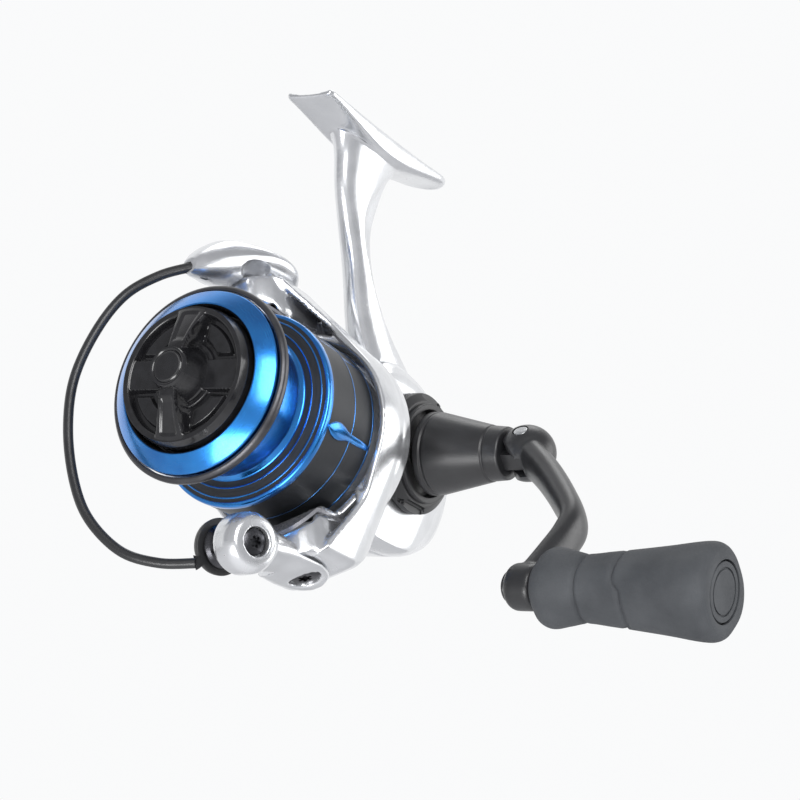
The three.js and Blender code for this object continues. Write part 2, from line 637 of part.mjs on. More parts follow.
// The lower arm: a flat arm on the pivot with a round head that carries the line roller.
function rollerArm() {
  const outer = -LEVER_INNER - ROLLER_ARM_THICKNESS;
  const rings = [
    section([-0.8, PIVOT_Y + 6.4, outer + 0.4], X, Z, 3, 1.2, 12),
    section([-0.8, PIVOT_Y + 4.2, outer + 1.2], X, Z, 5.4, 1.9, 12),
    section([-0.8, PIVOT_Y, outer + 1.6], X, Z, 6.4, 2.1, 12),
    section([-0.6, PIVOT_Y - 6, outer + 1.9], X, Z, 6, 2.3, 12),
    section([-0.2, 20.5, outer + 2.6], X, Z, 5.4, 3.2, 12),
    section([0, 15, outer + 3.2], X, Z, 5, 4.2, 12),
    section([0.4, 10.5, outer + 4], X, Z, 4.4, 4.6, 12),
  ];
  const head = onDrum(
    turned([[0, -1.8], [5.6, -1.8], [BAIL_DRUM_R, -0.4], [BAIL_DRUM_R, 4], [5.6, 6.4], [0, 7]], 24),
  );
  const armRoom = block([-14, 14], [PIVOT_Y - ARM_WIDTH / 2 - 0.8, 60], [-LEVER_INNER, -20]);
  const hole = aim(rod(PIVOT_R + GAP, 20, 60, 20), [0, 0, -1]).translate(0, PIVOT_Y, 0);
  const sink = aim(rod(PIVOT_HEAD_R + GAP, LOWER_SINK, 60, 20), [0, 0, -1]).translate(0, PIVOT_Y, 0);
  const screwHole = onDrum(rod(1.5 + GAP, -12, 12, 16));
  const screwSink = onDrum(rod(2.9 + GAP, 4.2, 12, 20));
  const rollerRoom = onDrum(rod(BAIL_DRUM_R + 2, -20, -1.8, 20));
  const body = join(solid(lofted(rings)), solid(head));
  return cut(body, ...[armRoom, hole, sink, screwHole, screwSink, rollerRoom].map(solid));
}

function lineRoller() {
  const [a, b] = [ROLLER_END - ROLLER_WIDTH, ROLLER_END];
  const middle = (a + b) / 2;
  const profile = [
    [2 + RUNNING, a],
    [ROLLER_R + 1, a],
    [ROLLER_R + 1, a + 0.7],
    [ROLLER_R, middle - 0.6],
    [ROLLER_R, middle + 0.6],
    [ROLLER_R + 1, b - 0.7],
    [ROLLER_R + 1, b],
    [2 + RUNNING, b],
  ];
  return onDrum(turned(profile, 20));
}

// A stepped cap on the roller's far side, which also grips the wire.
function wireCover() {
  const cap = turned(
    [[0, COVER_END - 5], [2.6, COVER_END - 5], [5.6, COVER_END - 2.2], [6.4, COVER_END], [0, COVER_END]],
    24,
  );
  const boss = limb(wireEndCurve(0.97, 1), WIRE_SIDE, () => [2.2, 2.2], 4, 8);
  const core = solid(onDrum(rod(1.5 + GAP, COVER_END - 3, COVER_END + EPS, 16)));
  const body = join(solid(onDrum(cap)), solid(boss)).subtract(solid(onDrum(rod(12, COVER_END, 20, 20))));
  return cut(body, core, solid(wireRoom()));
}

// The wire leaves the lever's tip, rounds the spool's open side and comes in to the roller's cap.
function bailCurve() {
  const stops = [
    [-1, 6.4, 33.4],
    [-8, 3.2, 32.9],
    [-16, 0.1, 30],
    [-23.2, -2.7, 22.6],
    [-29.4, -4.8, 12],
    [-32.4, -5.3, 0],
    [-33, -4.6, -12.5],
    [-31.2, -3.3, -22.2],
    [-26, -0.6, -31],
    [-18.8, 2.6, -35.6],
    [-11.6, 6, -37.4],
  ];
  return new THREE.CatmullRomCurve3(stops.map((p) => new THREE.Vector3(...p)));
}

const WIRE_SIDE = new THREE.Vector3(0.4, -0.9, 0).normalize(); // square to the plane the wire lies in

function wireRoom() {
  return limb(bailCurve(), WIRE_SIDE, () => [WIRE_R + GAP, WIRE_R + GAP], 30, 6);
}

function wireEndCurve(from, to) {
  const whole = bailCurve();
  const points = [0, 0.5, 1].map((t) => whole.getPoint(from + (to - from) * t));
  points.push(new THREE.Vector3(...WIRE_SOCKET));
  return new THREE.CatmullRomCurve3(points);
}

function pivotScrew(side) {
  const sink = side > 0 ? UPPER_SINK : LOWER_SINK;
  const profile = [
    [0, POCKET_INNER + 1.4],
    [PIVOT_R, POCKET_INNER + 1.4],
    [PIVOT_R, sink + GAP],
    [PIVOT_HEAD_R, sink + GAP],
    [PIVOT_HEAD_R, sink + 1.5],
    [0, sink + 1.5],
  ];
  return aim(turned(profile, 20), [0, 0, side]).translate(0, PIVOT_Y, 0);
}

const rollerScrew = onDrum(
  turned([[0, -6.4], [1.5, -6.4], [1.5, 4.5], [2.9, 4.5], [2.9, 5.9], [0, 5.9]], 16),
);

add("bail_lever", upperLever(), SILVER(), rotorFrame);
add("roller_arm", rollerArm(), SILVER(), rotorFrame);
add("bail_wire", limb(bailCurve(), WIRE_SIDE, () => [WIRE_R, WIRE_R], 30, 6), SATIN_BLACK(), rotorFrame);
add("wire_cover", wireCover(), SATIN_BLACK(), rotorFrame);
add("line_roller", lineRoller(), DARK_METAL(), rotorFrame);
add("roller_screw", rollerScrew, STEEL(), rotorFrame);
add("pivot_screw_upper", pivotScrew(1), STEEL(), rotorFrame);
add("pivot_screw_lower", pivotScrew(-1), STEEL(), rotorFrame);
const camTop = POCKET_INNER + 3.6;
const camRing = ring(4.4, PIVOT_R + GAP, POCKET_INNER + 1.6, camTop);
const kickCam = aim(camRing, [0, 0, -1]).translate(0, PIVOT_Y, 0);
add("kick_cam", kickCam, NYLON(), rotorFrame);

// ---------------------------------------------------------------- gearbox

const GEAR_FACE_X = -PINION_R - 0.4;
const driveWheel = toothed(DRIVE_GEAR_R, DRIVE_GEAR_TEETH, 0.9, GEAR_THICKNESS);
const driveGear = join(
  solid(driveWheel.translate(0, GEAR_FACE_X - GEAR_THICKNESS, 0)),
  solid(rod(5, GEAR_FACE_X - 3.6, GEAR_FACE_X + 1.6, 28)),
).subtract(solid(rod(DRIVE_SHAFT_R + GAP, -20, 20, 24)));
const traversePinion = toothed(TRAVERSE_PINION_R, 13, 0.7, GEAR_THICKNESS, DRIVE_SHAFT_R + GAP);
const STROKE = STROKE_REARWARD + STROKE_FORWARD;
const CRANK_PIN_ANGLE = -Math.acos(-(STROKE_REARWARD - STROKE_FORWARD) / STROKE);

function traverseGear() {
  const disc = toothed(TRAVERSE_GEAR_R, TRAVERSE_GEAR_TEETH, 0.7, GEAR_THICKNESS);
  const wheel = solid(disc.translate(0, 3.6, 0));
  const stub = solid(rod(1.8, 3.6 + GEAR_THICKNESS - 0.2, 8.6, 20));
  const pin = rod(1, 3.2, 3.8, 12);
  pin.translate((STROKE / 2) * Math.sin(CRANK_PIN_ANGLE), 0, 0).rotateY(Math.PI / 2);
  return join(wheel, stub, solid(pin));
}

add("drive_gear", alongX(shapeOf(driveGear)), BRASS());
add("drive_shaft", alongX(rod(DRIVE_SHAFT_R, -14.6, 21.5, 24)), STEEL());
add("traverse_pinion", alongX(traversePinion.translate(0, 3.6, 0)), BRASS());
add("traverse_gear", alongX(shapeOf(traverseGear()), [0, TRAVERSE_MIDDLE_Y, TRAVERSE_MIDDLE_Z]), NYLON());
add("guide_rod", rod(GUIDE_ROD_R, 73.6, 91, 12).translate(0, 0, GUIDE_ROD_Z), STEEL());
add("drive_bearing_left", alongX(ring(5.4, DRIVE_SHAFT_R + GAP, -14.6, -11.2, 28)), STEEL());
add("drive_bearing_right", alongX(ring(5.4, DRIVE_SHAFT_R + GAP, 9.2, 12.6, 28)), STEEL());

// ---------------------------------------------------------------- body, stem and foot

const FOOT_MIDDLE_Y = FOOT_FRONT_Y + FOOT_LENGTH / 2;
const SEAT_Z = FOOT_EDGE_Z - (SEAT_R - Math.sqrt(SEAT_R ** 2 - (FOOT_WIDTH / 2) ** 2));
const BODY_FRONT_Y = ROTOR_REAR_Y + 0.8;

// The gearcase narrows from its full outline near the middle to a smaller one on each side face.
const CASE_FRONT_Y = BODY_FRONT_Y + 1;
const CASE_OUTLINE = [
  [CASE_FRONT_Y, 0],
  [CASE_FRONT_Y, -13],
  [58, -17.5],
  [70, -18.4],
  [81, -16.4],
  [91.5, -10],
  [95.5, 0],
  [93.5, 10],
  [84, 19.5],
  [74, 25],
  [61, 26.5],
  [CASE_FRONT_Y + 1.5, 20],
  [CASE_FRONT_Y, 9],
];
const FACE_OUTLINE = [
  [CASE_FRONT_Y, 0],
  [CASE_FRONT_Y, -12.5],
  [57, -16.6],
  [67, -17.4],
  [75.5, -15.8],
  [78.5, -9],
  [81, 0],
  [82.5, 9],
  [78.5, 17],
  [70.5, 20.2],
  [60, 20.6],
  [CASE_FRONT_Y + 1.4, 18.6],
  [CASE_FRONT_Y, 9],
];
const CASE_MIDDLE = new THREE.Vector2(GEAR_AXIS_Y + 1, 3);
// share of the half width, and how far the outline has gone towards the face's
const CASE_TAPER = [
  [0.42, 0],
  [0.62, 0.06],
  [0.8, 0.3],
  [0.94, 0.66],
  [1, 1],
];

// The outline in (y, z), moved out or in by an allowance.
function caseOutline(taper, allowance) {
  const points = CASE_OUTLINE.map(([y, z], k) => {
    const p = new THREE.Vector2(y, z).lerp(new THREE.Vector2(...FACE_OUTLINE[k]), taper);
    const out = p.clone().sub(CASE_MIDDLE).normalize();
    return p.addScaledVector(out, allowance);
  });
  const closed = new THREE.SplineCurve([...points, points[0]]);
  return closed.getPoints(26).slice(0, -1).map((p) => [p.x, p.y]);
}

// The case between two stations along X, with its walls moved in by an allowance.
function caseSolid(from, to, allowance) {
  const half = BODY_HALF_WIDTH + allowance;
  const taperAt = (x) => {
    const share = Math.abs(x) / half;
    const next = CASE_TAPER.findIndex(([s]) => share <= s + 1e-9);
    if (next <= 0) return 0;
    const [[s0, t0], [s1, t1]] = [CASE_TAPER[next - 1], CASE_TAPER[next]];
    return t0 + ((t1 - t0) * (share - s0)) / (s1 - s0);
  };
  const stations = CASE_TAPER.flatMap(([s]) => [-s * half, s * half]);
  const inside = stations.filter((x) => x > from + 0.05 && x < to - 0.05);
  const all = [from, ...inside, to].sort((a, b) => a - b);
  return solid(
    lofted(all.map((x) => caseOutline(taperAt(x), allowance).map(([y, z]) => new THREE.Vector3(x, y, z)))),
  );
}

// [z, y of the middle, half depth along Y, half thickness along X]
const STEM_SECTIONS = [
  [21, 73, 13, STEM_THICKNESS / 2 + 5],
  [28, 66.5, 10.6, STEM_THICKNESS / 2 + 2.6],
  [36, 59.4, 8, STEM_THICKNESS / 2 + 0.9],
  [46, 52.6, 5.6, STEM_THICKNESS / 2 + 0.2],
  [55, 48, 6.0, STEM_THICKNESS / 2],
  [63, 46.2, 8.4, STEM_THICKNESS / 2 + 0.2],
  [71, 46.2, 10.6, STEM_THICKNESS / 2 + 0.8],
  [FOOT_EDGE_Z - 3.4, 46.6, 14, STEM_THICKNESS / 2 + 1.9],
];

function stem() {
  return lofted(STEM_SECTIONS.map(([z, y, depth, half]) => section([0, y, z], X, Y, half, depth, 12)));
}

function foot() {
  const rings = [];
  const steps = 10;
  for (let i = 0; i <= steps; i++) {
    const t = i / steps;
    const swell = Math.sin(Math.PI * t) ** 1.5;
    const thickness = FOOT_END_THICKNESS + (FOOT_MID_THICKNESS - FOOT_END_THICKNESS) * swell;
    const nip = t > 0.9 ? 1 - 14 * (t - 0.9) ** 2 * 5 : 1;
    const half = (FOOT_WIDTH / 2) * (1 - 0.12 * t) * (i === 0 ? 0.95 : 1) * nip;
    const y = FOOT_FRONT_Y + FOOT_LENGTH * t;
    rings.push(section([0, y, FOOT_EDGE_Z - thickness / 2], X, Z, half, thickness / 2, 12, 4));
  }
  const seat = turned([[0, -50], [SEAT_R, -50], [SEAT_R, 50], [0, 50]], SEAT_SIDES);
  const seatFlat = SEAT_R * Math.cos(Math.PI / SEAT_SIDES);
  seat.rotateY(Math.PI / SEAT_SIDES).translate(0, FOOT_MIDDLE_Y, SEAT_Z + seatFlat);
  return cut(solid(lofted(rings)), solid(seat));
}

// [y, z, side that the head is on]
const COVER_SCREWS = [
  [56, 16.4, 1],
  [56.4, -12.4, 1],
  [73, -12.8, -1],
];
const SCREW_R = 1.1;
const SCREW_HEAD_R = 2.1;
const SCREW_BOSS_R = 2.6;
const SCREW_SINK = BODY_HALF_WIDTH - 1.2;

function bodyHousing() {
  const shell = caseSolid(-BODY_HALF_WIDTH, BODY_SPLIT_X, 0);
  const nose = solid(ring(NOSE_R, 6, NOSE_FRONT_Y, BODY_FRONT_Y + 0.2, FINE));
  const neck = solid(rod(NOSE_R - 2, BODY_FRONT_Y, CASE_FRONT_Y + 2, FINE)).intersect(
    solid(block([-20, BODY_SPLIT_X], [50, 56], [-20, 20])),
  );
  const leftBoss = solid(alongX(rod(8, -16.2, -BODY_HALF_WIDTH + 1, 28)));
  const outside = join(shell, nose, neck, leftBoss, solid(stem()), foot());
  const hollow = caseSolid(-BODY_HALF_WIDTH + BODY_WALL, BODY_SPLIT_X + EPS, -BODY_WALL);
  const stepped = turned(
    [
      [0, NOSE_FRONT_Y - EPS],
      [12.2, NOSE_FRONT_Y - EPS],
      [12.2, CLUTCH_END_Y],
      [8, CLUTCH_END_Y],
      [8, 50.9],
      [5.3, 50.9],
      [5.3, 56],
      [0, 56],
    ],
    FINE,
  );
  const bearingSeat = alongX(rod(5.4 + GAP, -14.9, -5, 24));
  const capHole = alongX(rod(DRIVE_SHAFT_R + 1.2, -20, -10, 24));
  const farScrew = COVER_SCREWS.find(([, , side]) => side < 0);
  const at = [0, farScrew[0], farScrew[1]];
  const boss = solid(alongX(rod(SCREW_BOSS_R, -BODY_HALF_WIDTH + 0.4, BODY_SPLIT_X, 12), at));
  const screwHole = alongX(rod(SCREW_R + GAP, -20, 20, 12), at);
  const screwSink = alongX(rod(SCREW_HEAD_R + GAP, -20, -SCREW_SINK), at);
  const shaped = join(cut(outside, hollow), boss);
  return cut(shaped, ...[stepped, bearingSeat, capHole, screwHole, screwSink].map(solid));
}

function sideCover() {
  const skin = caseSolid(BODY_SPLIT_X + GAP, BODY_HALF_WIDTH, 0);
  const hollow = caseSolid(BODY_SPLIT_X, BODY_HALF_WIDTH - BODY_WALL, -BODY_WALL);
  const boss = solid(alongX(rod(8, 9, BODY_HALF_WIDTH, 28)));
  const seat = solid(alongX(rod(5.4 + GAP, 8, 12.9, 28)));
  const traverse = [0, TRAVERSE_MIDDLE_Y, TRAVERSE_MIDDLE_Z];
  const stubBoss = solid(alongX(rod(3.4, 6.9, BODY_HALF_WIDTH - 2.4, 20), traverse));
  const stubHole = solid(alongX(rod(1.8 + GAP, 6, 9, 20), traverse));
  const sinks = COVER_SCREWS.filter(([, , side]) => side > 0);
  const screws = sinks.map(([y, z]) => solid(alongX(rod(SCREW_HEAD_R + GAP, SCREW_SINK, 20), [0, y, z])));
  const threads = COVER_SCREWS.map(([y, z, side]) => {
    return solid(alongX(rod(SCREW_R + GAP, 0, side > 0 ? 20 : 10, 12), [0, y, z]));
  });
  const bosses = COVER_SCREWS.map(([y, z]) => {
    return solid(alongX(rod(SCREW_BOSS_R, BODY_SPLIT_X + GAP, 11, 12), [0, y, z]));
  });
  const stemRoom = solid(stemClearance());
  const clipped = join(...bosses).intersect(caseSolid(BODY_SPLIT_X + GAP, BODY_HALF_WIDTH, -0.2));
  const made = join(cut(skin, hollow), boss, stubBoss, clipped);
  return cut(made, seat, stubHole, stemRoom, ...screws, ...threads);
}

// The stem's own shape, a clearance larger, where the side cover meets it.
function stemClearance() {
  return lofted(
    STEM_SECTIONS.map(([z, y, depth, half]) => section([0, y, z], X, Y, half + GAP, depth + GAP, 12)),
  );
}

// A round-headed screw; the one from the far side is long enough to reach the cover's boss.
function coverScrew([y, z, side]) {
  const seat = SCREW_SINK + GAP;
  const end = side > 0 ? BODY_SPLIT_X + 0.4 : -BODY_SPLIT_X - 3.4;
  const [shank, head] = [rod(SCREW_R, end, seat + 0.1, 12), rod(SCREW_HEAD_R, seat, 12.3, 12)];
  const screw = shapeOf(join(solid(shank), solid(head)));
  return alongX(side > 0 ? screw : screw.rotateX(Math.PI), [0, y, z]);
}

function bearingCover() {
  const rim = BEARING_COVER_R;
  const disc = solid(alongX(turned([[10.4, 12.4], [rim, 12.4], [rim, 14.6], [12.4, 15.6], [10.4, 15.6]])));
  const collar = solid(alongX(ring(11.9, 10.4, 12.4, 16.9, 28)));
  const base = solid(alongX(ring(BEARING_COVER_R - 1, DRIVE_SHAFT_R + 0.8, 12.3, 13.6, 28)));
  const notches = [1, -1].map((side) =>
    solid(block([14.2, 20], [GEAR_AXIS_Y - 4.4, GEAR_AXIS_Y + 4.4], side > 0 ? [18.2, 24] : [-14, -6.2])),
  );
  const seat = solid(alongX(rod(5.4 + GAP, 12, 12.95, 28)));
  return cut(join(disc, collar, base), seat, ...notches);
}

// A guard that wraps the lower rear of the case, over the seam of its two halves.
function rearGuard() {
  const reach = 6.4;
  const outer = solid(slab(caseOutline(0, 1.6), -reach, reach));
  const inner = solid(slab(caseOutline(0, GAP), -reach - EPS, reach + EPS));
  const keep = solid(block([-20, 20], [76, 110], [-30, 13]));
  return cut(outer, inner).intersect(keep);
}

add("body_housing", bodyHousing(), SILVER());
add("side_cover", sideCover(), SILVER());
COVER_SCREWS.forEach((place, k) => add(`cover_screw_${k + 1}`, coverScrew(place), STEEL()));
add("bearing_cover", bearingCover(), SATIN_BLACK());
add("rear_guard", rearGuard(), SATIN_BLACK());
const capProfile = [
  [0, -19],
  [6.4, -19],
  [7.4, -18],
  [7.4, -16.5],
  [DRIVE_SHAFT_R + 0.8, -16.5],
  [DRIVE_SHAFT_R + 0.8, -15.2],
  [0, -15.2],
];
add("opposite_side_cap", alongX(turned(capProfile, 32)), SATIN_BLACK());

// ---------------------------------------------------------------- handle, in the crank's frame

function shank() {
  const cone = turned(
    [
      [0, SHANK_START_X],
      [SHANK_BIG_R - 0.6, SHANK_START_X],
      [SHANK_BIG_R, SHANK_START_X + 0.8],
      [SHANK_BIG_R - 0.2, SHANK_START_X + 3],
      [SHANK_SMALL_R + 0.4, SHANK_END_X - 4.4],
      [SHANK_SMALL_R, SHANK_END_X - 3.6],
      [SHANK_SMALL_R, SHANK_END_X],
      [0, SHANK_END_X],
    ],
    28,
  );
  const tongue = block([-2.1, 2.1], [SHANK_END_X - 1, HEAD_X + 3.2], [-3.9, 3.9]);
  const tongueEnd = aim(rod(3.9, -2.1, 2.1, 20), [1, 0, 0]).translate(0, HEAD_X, 0);
  const socket = rod(DRIVE_SHAFT_R + GAP, SHANK_START_X - EPS, 21.9, 24);
  const hole = aim(rod(FOLD_PIN_R + GAP, -10, 10, 16), [1, 0, 0]).translate(0, HEAD_X, 0);
  const tipRoom = join(solid(tongueEnd), solid(block([-3, 3], [30, HEAD_X], [-3.9, 3.9])));
  const tip = solid(tongue).intersect(tipRoom);
  const made = cut(join(solid(cone), tip), solid(socket), solid(hole));
  // drawn about +Y with the fold pin along X: lay its axis along X and the pin along Y
  return shapeOf(made).applyMatrix4(new THREE.Matrix4().set(0, 1, 0, 0, 1, 0, 0, 0, 0, 0, -1, 0, 0, 0, 0, 1));
}

const armPath = new THREE.CatmullRomCurve3(
  [
    [HEAD_X + 1, 0, -1],
    [HEAD_X + 9.9, 0, -9.4],
    [HEAD_X + 18.3, 0, -18.9],
    [ARM_END_X + 0.2, 0, -27.4],
    [ARM_END_X + 1.4, 0, -34],
    [ARM_END_X + 0.9, 0, -42],
    [ARM_END_X, 0, -ARM_LENGTH],
  ].map((p) => new THREE.Vector3(...p)),
);

// Where the shank's end stands beside the arm's head when the arm is folded by an angle.
function shankRoom(fold) {
  const room = block([SHANK_END_X - 9, SHANK_END_X + 0.35], [-9, 9], [-9, 9]);
  return room.translate(-HEAD_X, 0, 0).rotateY(-rad(fold)).translate(HEAD_X, 0, 0);
}

function handleArm() {
  const bar = limb(
    armPath,
    Y,
    (t) => [wave(t, 5.2, 4.4), wave(t, ARM_ROOT_THICKNESS, ARM_END_THICKNESS) / 2],
    12,
    8,
  );
  const head = new THREE.SphereGeometry(HEAD_R, 16, 10).translate(HEAD_X, 0, 0);
  const r = HANDLE_BOSS_R;
  const boss = turned([[0, -3.6], [r - 0.8, -3.6], [r, -2.6], [r, 3.2], [0, 3.2]], 20);
  const end = aim(boss, [1, 0, 0]).translate(ARM_END_X, 0, -ARM_LENGTH);
  const slot = block([SHANK_END_X - 5, HEAD_X + 4.6], [-2.5, 2.5], [-4.6, 9]);
  const swing = block([SHANK_END_X - 5, HEAD_X + 1.8], [-2.5, 2.5], [-9, 9]);
  const reliefs = [0, 0.27, 0.54, 0.8, 1.06].map((share) => shankRoom(share * FOLD_LIMIT));
  const pinHole = rod(FOLD_PIN_R + GAP, -10, 10, 16).translate(HEAD_X, 0, 0);
  const spindleHole = aim(rod(KNOB_SPINDLE_R + GAP, -9, 9, 16), [1, 0, 0]);
  spindleHole.translate(ARM_END_X, 0, -ARM_LENGTH);
  const made = join(...[bar, head, end].map(solid));
  return cut(made, ...[slot, swing, ...reliefs, pinHole, spindleHole].map(solid));
}

const atArmEnd = (geometry) => aim(geometry, [1, 0, 0]).translate(0, 0, -ARM_LENGTH);
const KNOB_END_X = KNOB_START_X + KNOB_LENGTH;

// [share of the length, half height, half depth]
const KNOB_SECTIONS = [
  [0, 7.2, 6.8],
  [0.06, 8.4, 8.0],
  [0.2, 7.2, 7.4],
  [0.28, 6.7, 7.2],
  [0.45, 7.6, 8.2],
  [0.7, 8.6, 9.2],
  [0.88, 9.7, 10],
  [0.96, 9.8, 10],
  [1, 8.8, 9],
];

function handleKnob() {
  const rings = KNOB_SECTIONS.map(([share, height, depth]) =>
    section([KNOB_START_X + share * KNOB_LENGTH, 0, -ARM_LENGTH], Y, Z, depth, height, 16, 2.4),
  );
  const bore = atArmEnd(rod(4.2, KNOB_START_X - EPS, KNOB_END_X - 6, 20));
  const capSeat = lofted(
    [KNOB_END_X - 1.2, KNOB_END_X + EPS].map((x) => section([x, 0, -ARM_LENGTH], Y, Z, 6.6, 7.4, 20)),
  );
  return cut(solid(lofted(rings)), solid(bore), solid(capSeat));
}

const knobCap = lofted(
  [KNOB_END_X - 1.2 + GAP, KNOB_END_X - 0.1].map((x) => section([x, 0, -ARM_LENGTH], Y, Z, 6.3, 7.1, 20)),
);
const spindleProfile = [
  [0, ARM_END_X - 4.8],
  [3, ARM_END_X - 4.8],
  [3, ARM_END_X - 3.6 - GAP],
  [KNOB_SPINDLE_R, ARM_END_X - 3.6 - GAP],
  [KNOB_SPINDLE_R, KNOB_END_X - 9.4],
  [0, KNOB_END_X - 9.4],
];

add("handle_shank", shank(), SATIN_BLACK(), crankFrame);
const foldPin = rod(FOLD_PIN_R, -HEAD_R + 0.35, HEAD_R - 0.35, 16).translate(HEAD_X, 0, 0);
add("fold_pin", foldPin, STEEL(), crankFrame);
add("handle_arm", handleArm(), SATIN_BLACK(), crankFrame);
add("knob_spindle", atArmEnd(turned(spindleProfile, 20)), STEEL(), crankFrame);
const knobBearing = (start) => atArmEnd(ring(3.9, KNOB_SPINDLE_R + GAP, start, start + 3));
add("knob_bearing_inner", knobBearing(KNOB_START_X + 1), STEEL(), crankFrame);
add("knob_bearing_outer", knobBearing(KNOB_END_X - 13), STEEL(), crankFrame);
add("handle_knob", handleKnob(), RUBBER(), crankFrame);
add("knob_cap", knobCap, RUBBER(), crankFrame);

reel.position.set(0, -FOOT_MIDDLE_Y, -SEAT_Z);

export default part;
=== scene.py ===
"""A spinning reel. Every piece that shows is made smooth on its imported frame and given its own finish."""

import json
import math

import bmesh
import bpy
from mathutils import Matrix, Vector
from mathutils.geometry import convex_hull_2d


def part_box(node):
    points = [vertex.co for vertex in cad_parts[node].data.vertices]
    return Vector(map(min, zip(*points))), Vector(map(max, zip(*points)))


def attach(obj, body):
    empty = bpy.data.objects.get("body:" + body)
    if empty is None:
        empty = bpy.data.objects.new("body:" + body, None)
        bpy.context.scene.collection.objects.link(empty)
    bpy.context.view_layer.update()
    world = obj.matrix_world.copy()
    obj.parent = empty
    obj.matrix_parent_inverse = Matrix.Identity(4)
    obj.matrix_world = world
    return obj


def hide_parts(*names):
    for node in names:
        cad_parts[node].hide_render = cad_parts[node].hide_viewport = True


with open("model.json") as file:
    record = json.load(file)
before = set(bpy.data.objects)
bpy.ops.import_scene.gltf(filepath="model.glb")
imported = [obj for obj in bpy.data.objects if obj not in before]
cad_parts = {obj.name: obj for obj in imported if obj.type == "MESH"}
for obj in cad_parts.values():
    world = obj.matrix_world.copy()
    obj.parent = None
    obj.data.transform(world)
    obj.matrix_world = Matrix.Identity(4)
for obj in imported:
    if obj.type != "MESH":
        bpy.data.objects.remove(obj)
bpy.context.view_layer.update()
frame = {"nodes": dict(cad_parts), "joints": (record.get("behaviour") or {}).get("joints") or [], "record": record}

MM = 0.001
JOINTS = {j["name"]: j for j in frame["joints"]}
BODY_OF = {n: body for body, ns in frame["record"]["behaviour"]["bodies"].items() for n in ns}
SLOT_OF = {s["node"]: s["material_slot"] for s in frame["record"]["subparts"]}

# ------------------------------------------------------------------ places

LIP_START = -1.1  # mm, the front of the spool's lip ring, measured from the lip's middle


def axes_at(origin, x, y, z):
    """A frame drawn in millimetres, placed in the reel."""
    turn = Matrix([x, y, z]).transposed().to_4x4()
    return Matrix.Translation(origin) @ turn @ Matrix.Scale(MM, 4)


X, Y, Z = Vector((1, 0, 0)), Vector((0, 1, 0)), Vector((0, 0, 1))
SPOOL_MIDDLE = Vector((0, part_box("spool_lip_ring")[0].y - LIP_START * MM, JOINTS["rotor_spin"]["pos_m"][2]))
ARM_LINE = Vector(JOINTS["bail_open"]["axis"]).normalized()
FOLD_LINE = Vector(JOINTS["handle_fold"]["axis"]).normalized()
HANDLE_MIDDLE = Vector(JOINTS["handle_spin"]["pos_m"])
ROLLER_LINE = Vector(JOINTS["line_roller_spin"]["axis"]).normalized()
ROLLER_MIDDLE = Vector(JOINTS["line_roller_spin"]["pos_m"])

REEL = axes_at(SPOOL_MIDDLE, X, Y, Z)
ROTOR = axes_at(SPOOL_MIDDLE, Y.cross(ARM_LINE), Y, ARM_LINE)
CRANK = axes_at(HANDLE_MIDDLE, X, FOLD_LINE, X.cross(FOLD_LINE))
ROLLER_ACROSS = ROLLER_LINE.cross(Z).normalized()
ROLLER = axes_at(ROLLER_MIDDLE, ROLLER_ACROSS, ROLLER_LINE, ROLLER_ACROSS.cross(ROLLER_LINE))
GEAR_Y = (HANDLE_MIDDLE.y - SPOOL_MIDDLE.y) / MM
GEAR_Z = (HANDLE_MIDDLE.z - SPOOL_MIDDLE.z) / MM
SEAT_TOP = -SPOOL_MIDDLE.z / MM
PIVOT_Y = (Vector(JOINTS["bail_open"]["pos_m"]).y - SPOOL_MIDDLE.y) / MM
GEAR_AT = (0, GEAR_Y, GEAR_Z)  # where the handle's axis crosses the case
PIVOT_AT = (0, PIVOT_Y, 0)

# ------------------------------------------------------------------ shapes, in millimetres


def mixed(a, b, t):
    """Two rows of numbers blended by the share t."""
    return [p + (q - p) * t for p, q in zip(a, b)]


def eased(t):
    """A step from 0 to 1 with soft ends."""
    t = min(1, max(0, t))
    return t * t * (3 - 2 * t)


def between(rows, count):
    """Rows of numbers filled in smoothly to a longer list."""
    out = []
    last = len(rows) - 1
    for k in range(count):
        s = k / (count - 1) * last
        i = min(int(s), last - 1)
        t = s - i
        near = (rows[min(max(i + n, 0), last)] for n in (-1, 0, 1, 2))
        out.append([through(*four, t) for four in zip(*near)])
    return out


def through(a, b, c, d, t):
    """The smooth curve through four numbers, at the share t of the way from b to c."""
    return b + 0.5 * t * (c - a + t * (2 * a - 5 * b + 4 * c - d + t * (3 * (b - c) + d - a)))


def rounded(points, radius, closed=False, steps=4):
    """A polyline with its corners rounded."""
    out = []
    n = len(points)
    for i, here in enumerate(points):
        if not closed and i in (0, n - 1):
            out.append(tuple(here))
            continue
        p, a, b = Vector(here), Vector(points[i - 1]), Vector(points[(i + 1) % n])
        reach = min(radius, (a - p).length * 0.45, (b - p).length * 0.45)
        start, end = p + (a - p).normalized() * reach, p + (b - p).normalized() * reach
        for k in range(steps + 1):
            t = k / steps
            out.append(tuple((1 - t) ** 2 * start + 2 * t * (1 - t) * p + t * t * end))
    return out


def oval(centre, right, up, width, height, sides=40, power=2.0):
    """A closed section, where a power above 2 is squarer than an ellipse."""
    points = []
    for k in range(sides):
        a = 2 * math.pi * k / sides
        c, s = math.cos(a), math.sin(a)
        across = width * math.copysign(abs(c) ** (2 / power), c)
        along = height * math.copysign(abs(s) ** (2 / power), s)
        points.append(Vector(centre) + Vector(right) * across + Vector(up) * along)
    return points


